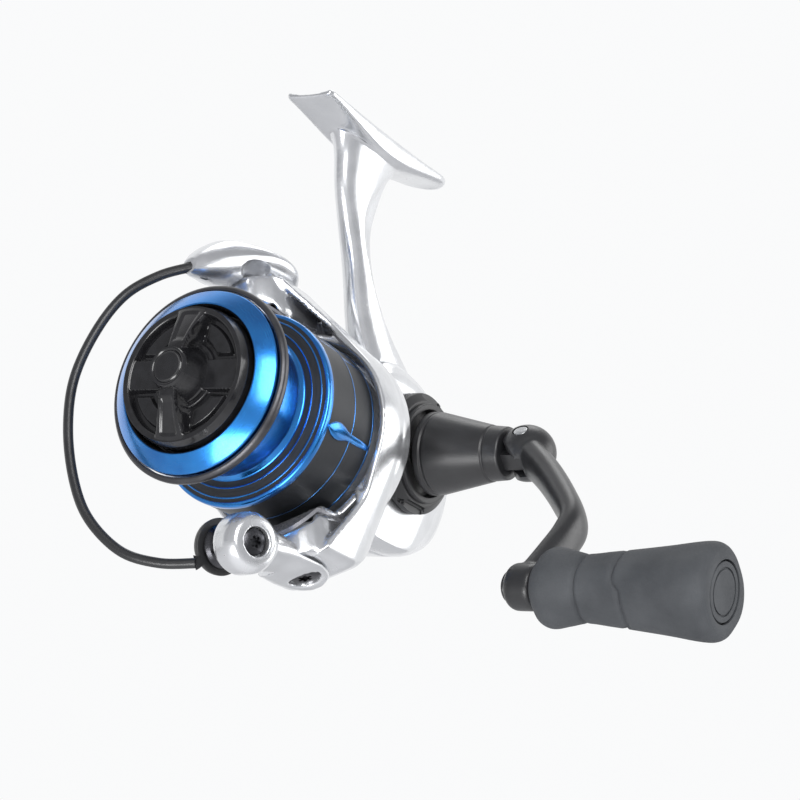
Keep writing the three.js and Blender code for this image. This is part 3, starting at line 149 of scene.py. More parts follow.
def solid(name, verts, faces):
    """A new closed piece, still in millimetres, with its faces turned outward."""
    mesh = bpy.data.meshes.new(name)
    mesh.from_pydata([tuple(v) for v in verts], [], faces)
    work = bmesh.new()
    work.from_mesh(mesh)
    bmesh.ops.remove_doubles(work, verts=work.verts, dist=1e-4)
    bmesh.ops.recalc_face_normals(work, faces=work.faces)
    work.to_mesh(mesh)
    work.free()
    piece = bpy.data.objects.new(name, mesh)
    bpy.context.scene.collection.objects.link(piece)
    return piece


def lofted(name, rings):
    """A skin over a row of closed sections, capped at both ends."""
    n = len(rings[0])
    verts = [p for ring in rings for p in ring]
    faces = []
    for i in range(len(rings) - 1):
        for j in range(n):
            a, b = i * n + j, i * n + (j + 1) % n
            faces.append((a, b, b + n, a + n))
    for start in (0, (len(rings) - 1) * n):
        verts.append(sum((Vector(p) for p in verts[start : start + n]), Vector()) / n)
        faces += [(len(verts) - 1, start + j, start + (j + 1) % n) for j in range(n)]
    return solid(name, verts, faces)


def turned(name, profile, segments=96, along=Y, at=(0, 0, 0)):
    """A profile of (radius, height) turned about an axis. It ends on the axis or closes on itself."""
    closed = profile[0][0] > 1e-6
    turn = Y.rotation_difference(Vector(along)).to_matrix()
    verts, faces = [], []
    n = len(profile)
    for r, h in profile:
        for k in range(segments):
            a = 2 * math.pi * k / segments
            verts.append(turn @ Vector((r * math.cos(a), h, r * math.sin(a))) + Vector(at))
    for i in range(n if closed else n - 1):
        for k in range(segments):
            a, b = i * segments + k, i * segments + (k + 1) % segments
            c, d = (i + 1) % n * segments + (k + 1) % segments, (i + 1) % n * segments + k
            faces.append((a, b, c, d))
    return solid(name, verts, faces)


def rod(name, radius, start, end, along=Y, at=(0, 0, 0), segments=48, edge=0.0):
    corners = [(0, start), (radius, start), (radius, end), (0, end)]
    return turned(name, rounded(corners, edge, steps=3) if edge else corners, segments, along, at)


def ring(name, outer, inner, start, end, along=Y, at=(0, 0, 0), segments=72, edge=0.2):
    corners = [(inner, start), (outer, start), (outer, end), (inner, end)]
    return turned(name, rounded(corners, edge, closed=True, steps=3), segments, along, at)


def block(name, low, high, edge=0.0):
    """A box between two corners, with its edges rounded when edge is given."""
    made = bmesh.new()
    bmesh.ops.create_cube(made, size=1)
    for v in made.verts:
        v.co = Vector((l + (h - l) * (c + 0.5) for c, l, h in zip(v.co, low, high)))
    if edge:
        bmesh.ops.bevel(made, geom=made.edges[:], offset=edge, segments=3, affect="EDGES")
    mesh = bpy.data.meshes.new(name)
    made.to_mesh(mesh)
    made.free()
    piece = bpy.data.objects.new(name, mesh)
    bpy.context.scene.collection.objects.link(piece)
    return piece


def limb(name, path, side, widths, steps=60, sides=28, power=2.0):
    """A bar along a smooth path that bends in one plane. side is square to that plane."""
    points = [Vector(p) for p in between(path, steps + 1)]
    rings = []
    for i, p in enumerate(points):
        ahead = points[min(i + 1, steps)] - points[max(i - 1, 0)]
        across = Vector(side).cross(ahead).normalized()
        w, h = widths(i / steps)
        rings.append(oval(p, side, across, w, h, sides, power))
    return lofted(name, rings)


def settled(piece):
    """The piece with its modifiers made into plain mesh."""
    graph = bpy.context.evaluated_depsgraph_get()
    made = bpy.data.meshes.new_from_object(piece.evaluated_get(graph))
    piece.modifiers.clear()
    piece.data = made
    return piece


def combined(piece, others, how):
    """Joins, cuts or overlaps a piece with others, which are used up."""
    for other in others:
        step = piece.modifiers.new("step", "BOOLEAN")
        step.operation = how
        step.solver = "MANIFOLD"
        step.object = other
        settled(piece)
        bpy.data.objects.remove(other)
    return piece


def cut(piece, *others):
    return combined(piece, others, "DIFFERENCE")


def kept(piece, *others):
    return combined(piece, others, "INTERSECT")


def joined(piece, *others):
    return combined(piece, others, "UNION")


def cast(piece, grain, passes=8):
    """Melts a piece into one skin with soft edges, as a casting has."""
    step = piece.modifiers.new("skin", "REMESH")
    step.mode = "VOXEL"
    step.voxel_size = grain
    settled(piece)
    smooth = piece.modifiers.new("soft", "SMOOTH")
    smooth.factor = 0.5
    smooth.iterations = passes
    return settled(piece)


# ------------------------------------------------------------------ shader maths


class Wire:
    """One output of a shader node, used in sums as a number is."""

    def __init__(self, recipe, socket):
        self.recipe, self.socket = recipe, socket

    def __add__(self, other):
        return self.recipe.maths("ADD", self, other)

    __radd__ = __add__

    def __sub__(self, other):
        return self.recipe.maths("SUBTRACT", self, other)

    def __rsub__(self, other):
        return self.recipe.maths("SUBTRACT", other, self)

    def __mul__(self, other):
        return self.recipe.maths("MULTIPLY", self, other)

    __rmul__ = __mul__

    def __pow__(self, other):
        return self.recipe.maths("POWER", self, other)


class Recipe:
    """A finish being mixed. Lengths in it are in millimetres on the piece."""

    def __init__(self, name):
        self.material = bpy.data.materials.new(name)
        self.material.use_nodes = True
        self.tree = self.material.node_tree
        self.tree.nodes.clear()
        where = self.node("TexCoord", out="Object")
        self.place = self.node("VectorMath", {"operation": "SCALE"}, {0: where, "Scale": 1 / MM})

    def node(self, kind, settings=None, sockets=None, out=0):
        made = self.tree.nodes.new("ShaderNode" + kind)
        for key, value in (settings or {}).items():
            if key == "stops":
                ends = made.color_ramp.elements
                for k, (spot, colour) in enumerate(value):
                    stop = ends[k] if k < 2 else ends.new(spot)
                    stop.position, stop.color = spot, (*colour, 1)
            else:
                setattr(made, key, value)
        for key, value in (sockets or {}).items():
            if isinstance(value, Wire):
                self.tree.links.new(value.socket, made.inputs[key])
            else:
                made.inputs[key].default_value = value
        return Wire(self, made.outputs[out])

    def maths(self, operation, a, b=0.0):
        return self.node("Math", {"operation": operation}, {0: a, 1: b})

    def noise(self, per_mm, detail=3.0, rough=0.5, place=None):
        sockets = {"Vector": place or self.place, "Scale": per_mm, "Detail": detail, "Roughness": rough}
        return self.node("TexNoise", None, sockets)

    def ranged(self, value, low, high, to_low=0.0, to_high=1.0):
        sockets = {"Value": value, "From Min": low, "From Max": high, "To Min": to_low, "To Max": to_high}
        return self.node("MapRange", None, sockets)

    def colours(self, mask, a, b):
        return self.node("Mix", {"data_type": "RGBA"}, {0: mask, 6: a, 7: b}, out=2)

    def stretched(self, x, y, z):
        return self.node("VectorMath", {"operation": "MULTIPLY"}, {0: self.place, 1: (x, y, z)})

    def done(self, colour, roughness, metallic=0.0, height=None, depth=0.05, **fixed):
        sockets = {"Base Color": colour, "Roughness": roughness, "Metallic": metallic}
        if height is not None:
            bump = {"Height": height, "Strength": 1.0, "Distance": depth * MM}
            sockets["Normal"] = self.node("Bump", None, bump)
        for key, value in fixed.items():
            sockets[key.replace("_", " ").title().replace("Ior", "IOR")] = value
        shader = self.node("BsdfPrincipled", None, sockets)
        end = self.tree.nodes.new("ShaderNodeOutputMaterial")
        self.tree.links.new(shader.socket, end.inputs["Surface"])
        return self.material


def rgb(r, g, b):
    """A colour for a shader socket."""
    return (r, g, b, 1.0)


def silver_coat():
    """Bright silver coat on a casting: a faint orange peel, soft smudges and fine flake."""
    m = Recipe("silver_coat")
    peel = m.noise(0.9, 2.0)
    flake = m.noise(14.0, 1.0)
    smudge = m.noise(0.11, 4.0)
    colour = m.colours(m.ranged(smudge, 0.35, 0.65), rgb(0.70, 0.71, 0.73), rgb(0.80, 0.81, 0.83))
    fleck = m.ranged(flake, 0.62, 0.72)
    colour = m.colours(fleck * 0.25, colour, rgb(0.95, 0.95, 0.96))
    rough = m.ranged(smudge, 0.3, 0.7, 0.20, 0.29)
    return m.done(colour, rough, 0.86, peel + flake * 0.1, 0.012, coat_weight=0.3, coat_roughness=0.08)


def blue_anodised():
    """Deep blue dye over a turned surface, with fine turning rings about the spool's axis."""
    m = Recipe("blue_anodised")
    rings = m.noise(1.0, 2.0, 0.6, m.stretched(0.25, 14.0, 0.25))
    cloud = m.noise(0.16, 3.0)
    colour = m.colours(m.ranged(cloud, 0.3, 0.7), rgb(0.012, 0.20, 0.64), rgb(0.022, 0.29, 0.82))
    rough = m.ranged(rings, 0.3, 0.7, 0.18, 0.28)
    return m.done(colour, rough, 1.0, rings, 0.01, coat_weight=0.9, coat_roughness=0.16)


def spool_black():
    """Satin charcoal on the skirt, faintly streaked round it."""
    m = Recipe("spool_black")
    streak = m.noise(1.0, 3.0, 0.6, m.stretched(0.2, 9.0, 0.2))
    dust = m.noise(5.0, 2.0)
    colour = m.colours(m.ranged(streak, 0.3, 0.7), rgb(0.018, 0.020, 0.023), rgb(0.032, 0.034, 0.039))
    colour = m.colours(m.ranged(dust, 0.72, 0.8) * 0.2, colour, rgb(0.2, 0.2, 0.22))
    return m.done(colour, m.ranged(streak, 0.3, 0.7, 0.36, 0.48), 0.3, streak + dust * 0.3, 0.012)


def dark_metal(name, low, high, shine, gloss):
    """Dark grey metal with a drawn grain."""
    m = Recipe(name)
    grain = m.noise(1.0, 4.0, 0.6, m.stretched(1.2, 12.0, 1.2))
    cloud = m.noise(0.2, 3.0)
    colour = m.colours(m.ranged(cloud, 0.3, 0.7), rgb(low, low, low * 1.08), rgb(high, high, high * 1.07))
    return m.done(colour, m.ranged(grain, 0.3, 0.7, shine - 0.06, shine + 0.07), gloss, grain, 0.01)


def gloss_black():
    """Gloss black moulding with a few soft scuffs."""
    m = Recipe("gloss_black")
    flow = m.noise(0.5, 2.0)
    scuff = m.noise(1.6, 5.0, 0.7)
    colour = m.colours(m.ranged(flow, 0.3, 0.7), rgb(0.008, 0.008, 0.009), rgb(0.014, 0.014, 0.016))
    rough = m.ranged(scuff, 0.45, 0.75, 0.13, 0.26)
    return m.done(colour, rough, 0.0, flow + scuff * 0.25, 0.02, specular_ior_level=0.7)


def satin_black(name="satin_black", tone=0.014, shine=0.34, metal=0.0):
    """Satin black coat: a powder's fine pebble and a little dust."""
    m = Recipe(name)
    pebble = m.noise(4.5, 3.0)
    dust = m.noise(2.2, 6.0, 0.75)
    cloud = m.noise(0.15, 3.0)
    tones = rgb(tone, tone, tone * 1.1), rgb(tone * 1.6, tone * 1.65, tone * 1.8)
    colour = m.colours(m.ranged(cloud, 0.3, 0.7), *tones)
    colour = m.colours(m.ranged(dust, 0.70, 0.80) * 0.3, colour, rgb(0.12, 0.125, 0.13))
    rough = m.ranged(pebble, 0.3, 0.7, shine - 0.05, shine + 0.08)
    return m.done(colour, rough, metal, pebble, 0.02, specular_ior_level=0.65)


def soft_grip():
    """Matte charcoal rubber with a fine leathery skin and pale dust in its pores."""
    m = Recipe("soft_grip")
    skin = m.noise(3.2, 4.0, 0.65)
    dust = m.noise(6.5, 5.0, 0.8)
    cloud = m.noise(0.12, 3.0)
    colour = m.colours(m.ranged(cloud, 0.3, 0.7), rgb(0.055, 0.059, 0.065), rgb(0.080, 0.085, 0.092))
    colour = m.colours(m.ranged(dust, 0.62, 0.74) * 0.5, colour, rgb(0.24, 0.255, 0.27))
    rough = m.ranged(skin, 0.3, 0.7, 0.58, 0.76)
    return m.done(colour, rough, 0.0, skin + dust * 0.4, 0.09, specular_ior_level=0.3)


def metal(name, dull, bright, shine):
    """Machined metal with tool marks and a slight tarnish."""
    m = Recipe(name)
    marks = m.noise(1.0, 4.0, 0.6, m.stretched(3.0, 16.0, 3.0))
    tarnish = m.noise(0.3, 4.0)
    colour = m.colours(m.ranged(tarnish, 0.35, 0.65), rgb(*dull), rgb(*bright))
    return m.done(colour, m.ranged(marks, 0.3, 0.7, shine - 0.07, shine + 0.1), 1.0, marks, 0.012)


def felt():
    """Pressed grey felt of the drag washers."""
    m = Recipe("felt")
    fibres = m.noise(5.0, 8.0, 0.8)
    colour = m.colours(m.ranged(fibres, 0.35, 0.65), rgb(0.045, 0.042, 0.040), rgb(0.11, 0.105, 0.10))
    return m.done(colour, m.ranged(fibres, 0.3, 0.7, 0.85, 0.97), 0.0, fibres, 0.12)


def nylon():
    """Ivory nylon bushes with a fine moulded grain."""
    m = Recipe("nylon")
    cloud = m.noise(0.4, 3.0)
    grain = m.noise(6.0, 2.0)
    colour = m.colours(m.ranged(cloud, 0.3, 0.7), rgb(0.70, 0.67, 0.60), rgb(0.80, 0.78, 0.71))
    return m.done(colour, m.ranged(grain, 0.3, 0.7, 0.45, 0.6), 0.0, grain, 0.015)


SILVER = silver_coat()
BLUE = blue_anodised()
SKIRT_BLACK = spool_black()
LIP_GREY = dark_metal("lip_grey", 0.075, 0.11, 0.34, 0.85)
# dark grey of the arm panels, also laid on the rotor's inner faces as painted shade
DARK_PANEL_AND_PAINTED_SHADE = dark_metal("dark_panel_and_painted_shade", 0.30, 0.40, 0.26, 0.45)
GLOSS = gloss_black()
SATIN = satin_black()
MOULDED = satin_black("moulded_black", 0.012, 0.42)
GRIP = soft_grip()
STEEL = metal("steel", (0.48, 0.49, 0.50), (0.66, 0.67, 0.68), 0.28)
BLACK_STEEL = metal("black_steel", (0.045, 0.046, 0.05), (0.10, 0.10, 0.11), 0.27)
BRASS = metal("brass", (0.56, 0.38, 0.13), (0.78, 0.57, 0.24), 0.28)
FELT = felt()
NYLON = nylon()

SLOT_FINISH = {
    "silver_finish": SILVER,
    "blue_anodised": BLUE,
    "dark_metal": LIP_GREY,
    "gloss_black": GLOSS,
    "black_plastic": MOULDED,
    "black_metal": SATIN,
    "knob_rubber": GRIP,
    "steel": STEEL,
    "brass": BRASS,
    "felt": FELT,
    "nylon": NYLON,
}
for name, node in frame["nodes"].items():
    node.data.materials.clear()
    node.data.materials.append(SLOT_FINISH[SLOT_OF[name]])


def put(piece, at, finishes, *nodes, rule=None, crease=40):
    """Places a finished piece, gives it its finishes and lets it ride where its nodes do."""
    piece.data.transform(at)
    if at.determinant() < 0:
        piece.data.flip_normals()
    finishes = finishes if isinstance(finishes, list) else [finishes]
    piece.data.materials.clear()
    for finish in finishes:
        piece.data.materials.append(finish)
    if rule:
        back = at.inverted()
        turn = back.to_3x3()
        for face in piece.data.polygons:
            face.material_index = rule(back @ face.center, (turn @ face.normal).normalized())
    piece.data.shade_smooth()
    piece.data.set_sharp_from_angle(angle=math.radians(crease))
    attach(piece, BODY_OF[nodes[0]])
    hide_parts(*nodes)
    return piece


# ------------------------------------------------------------------ spool

SKIRT_START, SKIRT_END = 17.9, 36.9
SKIRT_FRONT_R, SKIRT_REAR_R = 23.06, 22.4
MID_LINE = 28.4
DASH_1, DASH_2 = (47.5, 50.8), (41.9, 45.2)  # degrees round the skirt


def skirt_r(y):
    return SKIRT_FRONT_R + (SKIRT_REAR_R - SKIRT_FRONT_R) * (y - SKIRT_START) / (SKIRT_END - SKIRT_START)


def make_spool():
    """The spool: dished front, cone, line bed, banded skirt, and its separate lip."""
    hollow = [(2.5, 8), (11, 8), (11, 1), (16.8, 1), (16.8, -3.7)]
    cone = [(17.44, -4.46), (21.3, -1.7), (21.4, -1.2)]
    flange = [(21.4, 1.6), (18.0, 2.5), (16.6, 3.6)]
    arbor = [(16.45, 9.0), (16.6, 14.4), (17.3, 15.6)]
    face = [(18.9, 15.9), (18.95, 15.85), (19.2, 15.87), (19.25, 15.94), (20.3, 16.3)]
    face += [(21.0, 16.56), (21.05, 16.5), (21.3, 16.6), (21.35, 16.68), (22.1, 16.92)]
    rim = [(22.25, 16.9), (22.9, 17.2), (23.06, 17.8), (skirt_r(18.8), 18.8)]
    side = [(skirt_r(y) - 0.08, y) for y in (18.9, 21.0, 21.05, 27.55, 27.6)]
    side += [(skirt_r(MID_LINE - 0.16) - 0.08, MID_LINE - 0.16)]
    side += [(skirt_r(MID_LINE - 0.14), MID_LINE - 0.14), (skirt_r(MID_LINE + 0.14), MID_LINE + 0.14)]
    side += [(skirt_r(y) - 0.08, y) for y in (MID_LINE + 0.16, 28.9, 28.95, 35.35, 35.4, 36.3)]
    side += [(skirt_r(36.35), 36.35), (SKIRT_REAR_R, 36.75), (SKIRT_REAR_R - 0.2, SKIRT_END)]
    inside = [(21.2, SKIRT_END), (21.86, 20.3), (7, 20.3), (7, 22.3), (2.5, 22.3)]
    corners = hollow + cone + flange + arbor + face + rim + side + inside
    profile = rounded(corners, 0.28, closed=True, steps=3)

    def rule(p, facing):
        r = math.hypot(p.x, p.z)
        if p.y < 1.2 and r < 17.3 and p.y > -4.3:
            return 1
        if 15.72 < p.y < 17.3 and 17.7 < r < 22.12:
            on_line = abs(r - 19.07) < 0.15 or abs(r - 21.17) < 0.15
            return 0 if on_line else 2
        if 18.85 < p.y < 36.32 and r > 22.0:
            angle = math.degrees(math.atan2(p.z, p.x))
            first = 21.0 < p.y < 27.6 and DASH_1[0] < angle < DASH_1[1]
            second = 28.9 < p.y < 35.4 and DASH_2[0] < angle < DASH_2[1]
            line = abs(p.y - MID_LINE) < 0.15
            return 0 if first or second or line else 2
        return 0

    put(turned("spool_body", profile, 128), REEL, [BLUE, GLOSS, SKIRT_BLACK], "spool", rule=rule)
    lip = [(21.7, -1.1), (22.3, -1.12), (22.95, -0.5), (23.0, 0.5), (22.4, 1.5), (21.7, 1.9)]
    put(turned("spool_lip", rounded(lip, 0.3, closed=True), 128), REEL, LIP_GREY, "spool_lip_ring")


CLIP_ANGLE = -9
# along the skirt: place, half width, height above the skirt
CLIP_ROWS = [
    [18.7, 0.2, 0.12],
    [19.6, 0.9, 0.35],
    [21.2, 1.7, 0.6],
    [23.0, 2.0, 0.66],
    [24.8, 1.75, 0.62],
    [26.6, 1.2, 0.5],
    [28.6, 0.95, 0.32],
    [32.0, 0.9, 0.26],
    [35.0, 0.75, 0.22],
    [36.2, 0.55, 0.14],
]


def make_line_clip():
    """The clip that holds the line's end, a low leaf with a long tail down the skirt."""
    rings = []
    for y, half, high in between(CLIP_ROWS, 48):
        base = skirt_r(y) - 0.12
        points = []
        for k in range(20):
            a = math.pi * k / 19
            across, up = half * math.cos(a), (high + 0.12) * math.sin(a) ** 0.6
            turn = across / base + math.radians(CLIP_ANGLE)
            points.append(Vector(((base + up) * math.cos(turn), y, (base + up) * math.sin(turn))))
        rings.append(points)
    put(lofted("line_keeper", rings), REEL, BLUE, "line_clip")


# ------------------------------------------------------------------ drag knob

KNOB_R = 16.2
DISH_Y = -5.2
BOSS_FRONT = -12.5
BOSS_R = 4.6


def knob_height(x, z):
    """How far the drag knob's front stands out from its dish, towards the front."""
    r = math.hypot(x, z)
    rim = 1.9 * max(0, 1 - ((r - 15.1) / 1.15) ** 4) ** 0.5 if abs(r - 15.1) < 1.15 else 0
    spoke = 1.35 * (1 - eased((abs(z) - 3.1 - 0.02 * abs(x)) / 0.55)) * (1 - eased((r - 14.6) / 0.4))
    # a plate stands in each of the four pockets between spine and spokes
    side = abs(x) - 3.5 - 0.05 * abs(z)
    edge = min(13.1 - r, r - 8.9, abs(z) - 4.5, side, (abs(x) + abs(z)) * 0.7071 - 7.4)
    plate = 1.0 * eased(edge / 0.55)
    cone = min(1, max(0, (r - BOSS_R) / 2.1))
    boss = (DISH_Y - BOSS_FRONT) * (1 - 0.84 * cone**0.8) if r < 6.75 else 0
    boss -= 0.35 * max(0, 1 - abs(r - 3.75) / 0.3) + 0.2 * (1 - eased((r - 3.0) / 0.5))
    step = 1.15 * (1 - eased((r - 6.95) / 0.25)), 0.75 * (1 - eased((r - 7.75) / 0.3))
    reach = min(1, max(0, (r - BOSS_R) / (15.3 - BOSS_R)))
    half = 1.9 + 1.9 * reach**1.6
    crown = 5.9 * (1 - reach**1.35) + 1.9 * reach**1.35
    channel = 1 - eased((abs(x) - half * 0.55) / 0.5)
    crown -= 0.45 * channel * eased((r - 6.2) / 1.5) * (1 - eased((r - 13.6) / 1.0))
    spine = crown * (1 - eased((abs(x) - half) / 0.6)) if r < 15.6 else 0
    return max(rim, spoke, plate, boss, *step, spine)


def make_drag_knob():
    """The drag knob: a plain sleeve whose front is drawn as heights over its dish."""
    segments, rows = 320, 104
    turns = [2 * math.pi * k / segments for k in range(segments)]

    def plain(r, y):
        return [Vector((r * math.cos(a), y, r * math.sin(a))) for a in turns]

    profile = [((i / rows) ** 0.9) * (KNOB_R - 0.55) for i in range(rows + 1)]
    front = [plain(r, DISH_Y) for r in reversed(profile[1:])]
    for section in front:
        for p in section:
            p.y -= knob_height(p.x, p.z)

    back = [(14.6, -3.2), (14.6, 0.3), (KNOB_R - 0.2, 0.3)]
    back += [(KNOB_R, 0.1), (KNOB_R, -4.9), (KNOB_R - 0.2, -5.35)]
    inner = [(5.2, -5.4), (5.2, -0.2), (6.6, -0.2), (6.6, -3.2)]
    sleeve = [plain(r, y) for r, y in rounded([(0.01, -5.4), *inner, *back], 0.25, steps=2)]
    put(lofted("drag_dial", sleeve + front), REEL, GLOSS, "drag_knob", crease=50)


# ------------------------------------------------------------------ rotor

CUP_BORE, CUP_FRONT, CUP_FLOOR = 23.2, 37.6, 46.5
DRUM_R = 19.3
ARM_TOP, ARM_HALF = 36.2, 9.3
FAIRING_FRONT = 36.9


# how high the arms' outline stands at places along the rotor
ARM_TOPS = [(36, ARM_TOP), (39.5, ARM_TOP - 0.3), (42.5, 34.9), (45, 33), (47, 30.9), (49, 27.5), (51, 22)]


def hull_at(y, inset=0.0):
    """The rotor's outline at a station: a circle and two arm tips, wrapped as by a tight band."""
    radius = between([[25.05], [25.5], [25.6], [24.9], [23.6]], 60)
    here = radius[min(59, max(0, int((y - 36.8) / 13.4 * 59)))][0] - inset
    (y0, top0), (y1, top1) = next(pair for pair in zip(ARM_TOPS, ARM_TOPS[1:]) if y <= pair[1][0])
    top = top0 + (top1 - top0) * (y - y0) / (y1 - y0) - inset
    turns = [k / 45 * math.pi for k in range(90)]
    points = [Vector((here * math.cos(a), here * math.sin(a))) for a in turns]
    half = ARM_HALF - inset * 0.6
    for side in (1, -1):
        for x in (-half, half):
            for dx, dz in ((0, -1.2), (-0.35, -0.35), (-1.2, 0)):
                points.append(Vector((x + math.copysign(dx, -x), side * (top + dz))))
    shape = [points[i] for i in convex_hull_2d(points)]
    out = []
    for k in range(120):
        a = 2 * math.pi * k / 120
        ray = Vector((math.cos(a), math.sin(a)))
        best = here
        for p, q in zip(shape, shape[1:] + shape[:1]):
            edge = q - p
            cross = ray.x * edge.y - ray.y * edge.x
            if abs(cross) < 1e-9:
                continue
            t = (p.x * edge.y - p.y * edge.x) / cross
            u = (p.x * ray.y - p.y * ray.x) / cross
            if t > 0 and -1e-6 <= u <= 1 + 1e-6:
                best = max(best, t)
        out.append(Vector((ray.x * best, y, ray.y * best)))
    return out


def flared(outline, further=0.0):
    """The front edge of the fairing, drawn forward where it flows into the arms."""
    out = []
    for p in outline:
        near = 1 - eased((abs(p.x) - 7.0) / 10.5) if abs(p.z) > 12 else 0
        out.append(Vector((p.x, FAIRING_FRONT - 10.5 * near - further, p.z)))
    return out


def post_low(y):
    """The underside of an arm, which rises towards its front end."""
    return 25.2 + 0.9 * max(0, 28.6 - y)


def arm_post(side):
    """The upright end of one arm, round at the front and hollow on the side towards the spool."""
    rings = []
    for y in [22.75, 22.9, 23.3, 24, 25, 26.5, 28.5, 30.5, 32, 34, 36, 38, 40, 42]:
        back = max(0.0, 32 - y)
        half = ARM_HALF * math.sqrt(max(0.02, 1 - (back / 9.3) ** 2))
        low, high = post_low(y), ARM_TOP - max(0, (y - 39)) * 0.35
        middle = (low + high) / 2
        rings.append(oval((0, y, side * middle), X, Z, half, (high - low) / 2, 48, 7))
    return lofted("post", rings)


def make_rotor():
    """The rotor: a cup round the spool's tail, a hub, two arms and the fairings between them."""
    front = [(15.4, 30.3), (DRUM_R, 30.3), (DRUM_R, CUP_FLOOR), (CUP_BORE, CUP_FLOOR), (CUP_BORE, CUP_FRONT)]
    outside = [(24.2, 37.5), (25.1, 41.5), (25.6, 45.5), (24.9, 49), (23.2, 50.2), (15.2, 50.2)]
    hub = [(15.2, 40.4), (4.2, 40.4), (4.2, 37.8), (15.4, 37.8)]
    shell = turned("rotor_shell", rounded(front + outside + hub, 0.5, closed=True), 112)
    stations = [FAIRING_FRONT + k * 0.8 for k in range(17)]
    hull = lofted("hull", [flared(hull_at(FAIRING_FRONT))] + [hull_at(min(y, 49.9)) for y in stations[1:]])
    open_front = flared(hull_at(FAIRING_FRONT, 1.5), 3.0)
    hollow = lofted("hollow", [open_front] + [hull_at(y, 1.5) for y in (37.5, 40, 42.5, 45.2)])
    hollow = cut(hollow, rod("wall", 25.3, 37.4, 60, segments=96))
    keep = [block("keep", (-ARM_HALF + 1.2, 15, z), (ARM_HALF - 1.2, 60, z + 24)) for z in (20, -44)]
    ribs = [block("rib", (x - 0.5, 30, z), (x + 0.5, 60, z + 30)) for x, z in ((14.4, -44), (-14.4, -44))]
    hollow = cut(hollow, *keep, *ribs)
    hull = cut(hull, hollow)
    steps = [(24.1, FAIRING_FRONT), (CUP_BORE, 37.5)]
    steps += [(CUP_BORE, CUP_FLOOR), (DRUM_R, CUP_FLOOR), (DRUM_R, 60)]
    bore = turned("bore", [(0, 15), (24.1, 15), *steps, (0, 60)], 112)
    body = joined(hull, arm_post(1), arm_post(-1))
    body = joined(cut(body, bore), shell)
    for side in (1, -1):
        low, high = sorted((side * 25.0, side * 33.0))
        pocket = block("pocket", (-7.1, PIVOT_Y - 5.6, low), (7.1, 41.5, high))
        hole = rod("hole", 2.5, 20, 45, (0, 0, side), PIVOT_AT)
        body = cut(body, pocket, hole)
    body.name = "rotor_casting"

    # faces inside the rotor's hollow, and inward faces at its front, take the dark grey as painted shade
    def rule(p, facing):
        inward = -(p.x * facing.x + p.z * facing.z) / math.hypot(p.x, p.z)
        painted_shade_inside = 36 < p.y < 45.5 and inward > 0.35 and math.hypot(p.x, p.z) > 24
        return 1 if painted_shade_inside or (p.y < 37 and inward > 0.6) else 0

    put(cast(body, 0.42, 7), ROTOR, [SILVER, DARK_PANEL_AND_PAINTED_SHADE], "rotor", crease=60, rule=rule)
    for side, word in ((1, "upper"), (-1, "lower")):
        make_arm_panel(side, word)


def make_arm_panel(side, word):
    """The dark panel inside an arm, round at the front like the arm it closes."""
    rings = []
    for i in range(40):
        y = PIVOT_Y - 8.6 + i / 39 * 13.4 + max(0, i - 20) / 19 * 8.2
        back = max(0.0, PIVOT_Y - y)
        half = max(1.0, min(8.3, ARM_HALF * math.sqrt(max(0.0, 1 - (back / 9.3) ** 2)) - 0.7))
        across = [half * math.sin((k / 32 - 0.5) * math.pi) for k in range(33)]
        points = [Vector((x, y, side * (post_low(y) - 0.85))) for x in across]
        points += [Vector((x, y, side * (post_low(y) + 0.12))) for x in reversed(across)]
        rings.append(points)
    panel = lofted("arm_panel_" + word, rings)
    hole = rod("hole", 1.3, 20, 30, (0, 0, side), (0, 42, 0), 24)
    pivot = rod("hole", 2.6, 20, 30, (0, 0, side), PIVOT_AT, 36)
    put(cut(panel, hole, pivot), ROTOR, DARK_PANEL_AND_PAINTED_SHADE, "arm_cover_" + word)


# ------------------------------------------------------------------ bail

LEVER_INNER = 36.7
# across, along and up the rotor, half width, half height
LEVER_ROWS = [
    [0, 42.6, 38.2, 2.6, 0.8],
    [0.2, 40.4, 38.6, 6.2, 1.9],
    [0.4, 36.5, 39.4, 9, 3],
    [0.4, 32, 39.9, 9.8, 3.6],
    [0.3, 27, 40.2, 9.1, 4],
    [0, 22, 39.8, 7.8, 4.8],
    [-0.4, 17, 38.7, 6.4, 5.3],
    [-0.6, 12, 36.8, 4.7, 4.4],
    [-1, 8, 34.9, 3.2, 3.1],
    [-1.2, 5.6, 33.6, 1.8, 1.8],
]
WIRE_STOPS = [
    [-1, 6.4, 33.4],
    [-8, 3.2, 32.9],
    [-16, 0.1, 30],
    [-23.2, -2.7, 22.6],
    [-29.4, -4.8, 12],
    [-32.4, -5.3, 0],
    [-33, -4.6, -12.5],
    [-31.2, -3.3, -22.2],
    [-26, -0.6, -31],
    [-18.8, 2.6, -35.6],
    [-11.6, 6, -37.4],
]
WIRE_SIDE = Vector((0.4, -0.9, 0)).normalized()
WIRE_R = 1.15


def wire_tunnel():
    """What the bail wire takes out of the pieces that hold it."""
    return limb("tunnel", WIRE_STOPS, WIRE_SIDE, lambda t: (WIRE_R + 0.12, WIRE_R + 0.12), 60, 20)


def make_lever():
    """The bail's upper lever, hollow where it lies over the arm."""
    rings = [oval((x, y, z), X, Z, w, h, 48, 2.1) for x, y, z, w, h in between(LEVER_ROWS, 60)]
    lever = lofted("bail_lever_casting", rings)
    room = block("room", (-14, PIVOT_Y - 10.1, 20), (14, 60, LEVER_INNER), 0.4)
    scoop = solid_ball("scoop", (8.6, 23.5, 34.9), (6.0, 6.5, 3.4))
    hole = rod("hole", 2.3, 20, 60, Z, PIVOT_AT)
    sink = rod("sink", 3.7, 39.7, 60, Z, PIVOT_AT)
    slot = block("slot", (-1.6, 9.6, 30.4), (-0.9, 12.6, 34.2), 0.2)
    lever = cut(lever, room, scoop, hole, sink, wire_tunnel(), slot)
    put(lever, ROTOR, SILVER, "bail_lever", crease=50)


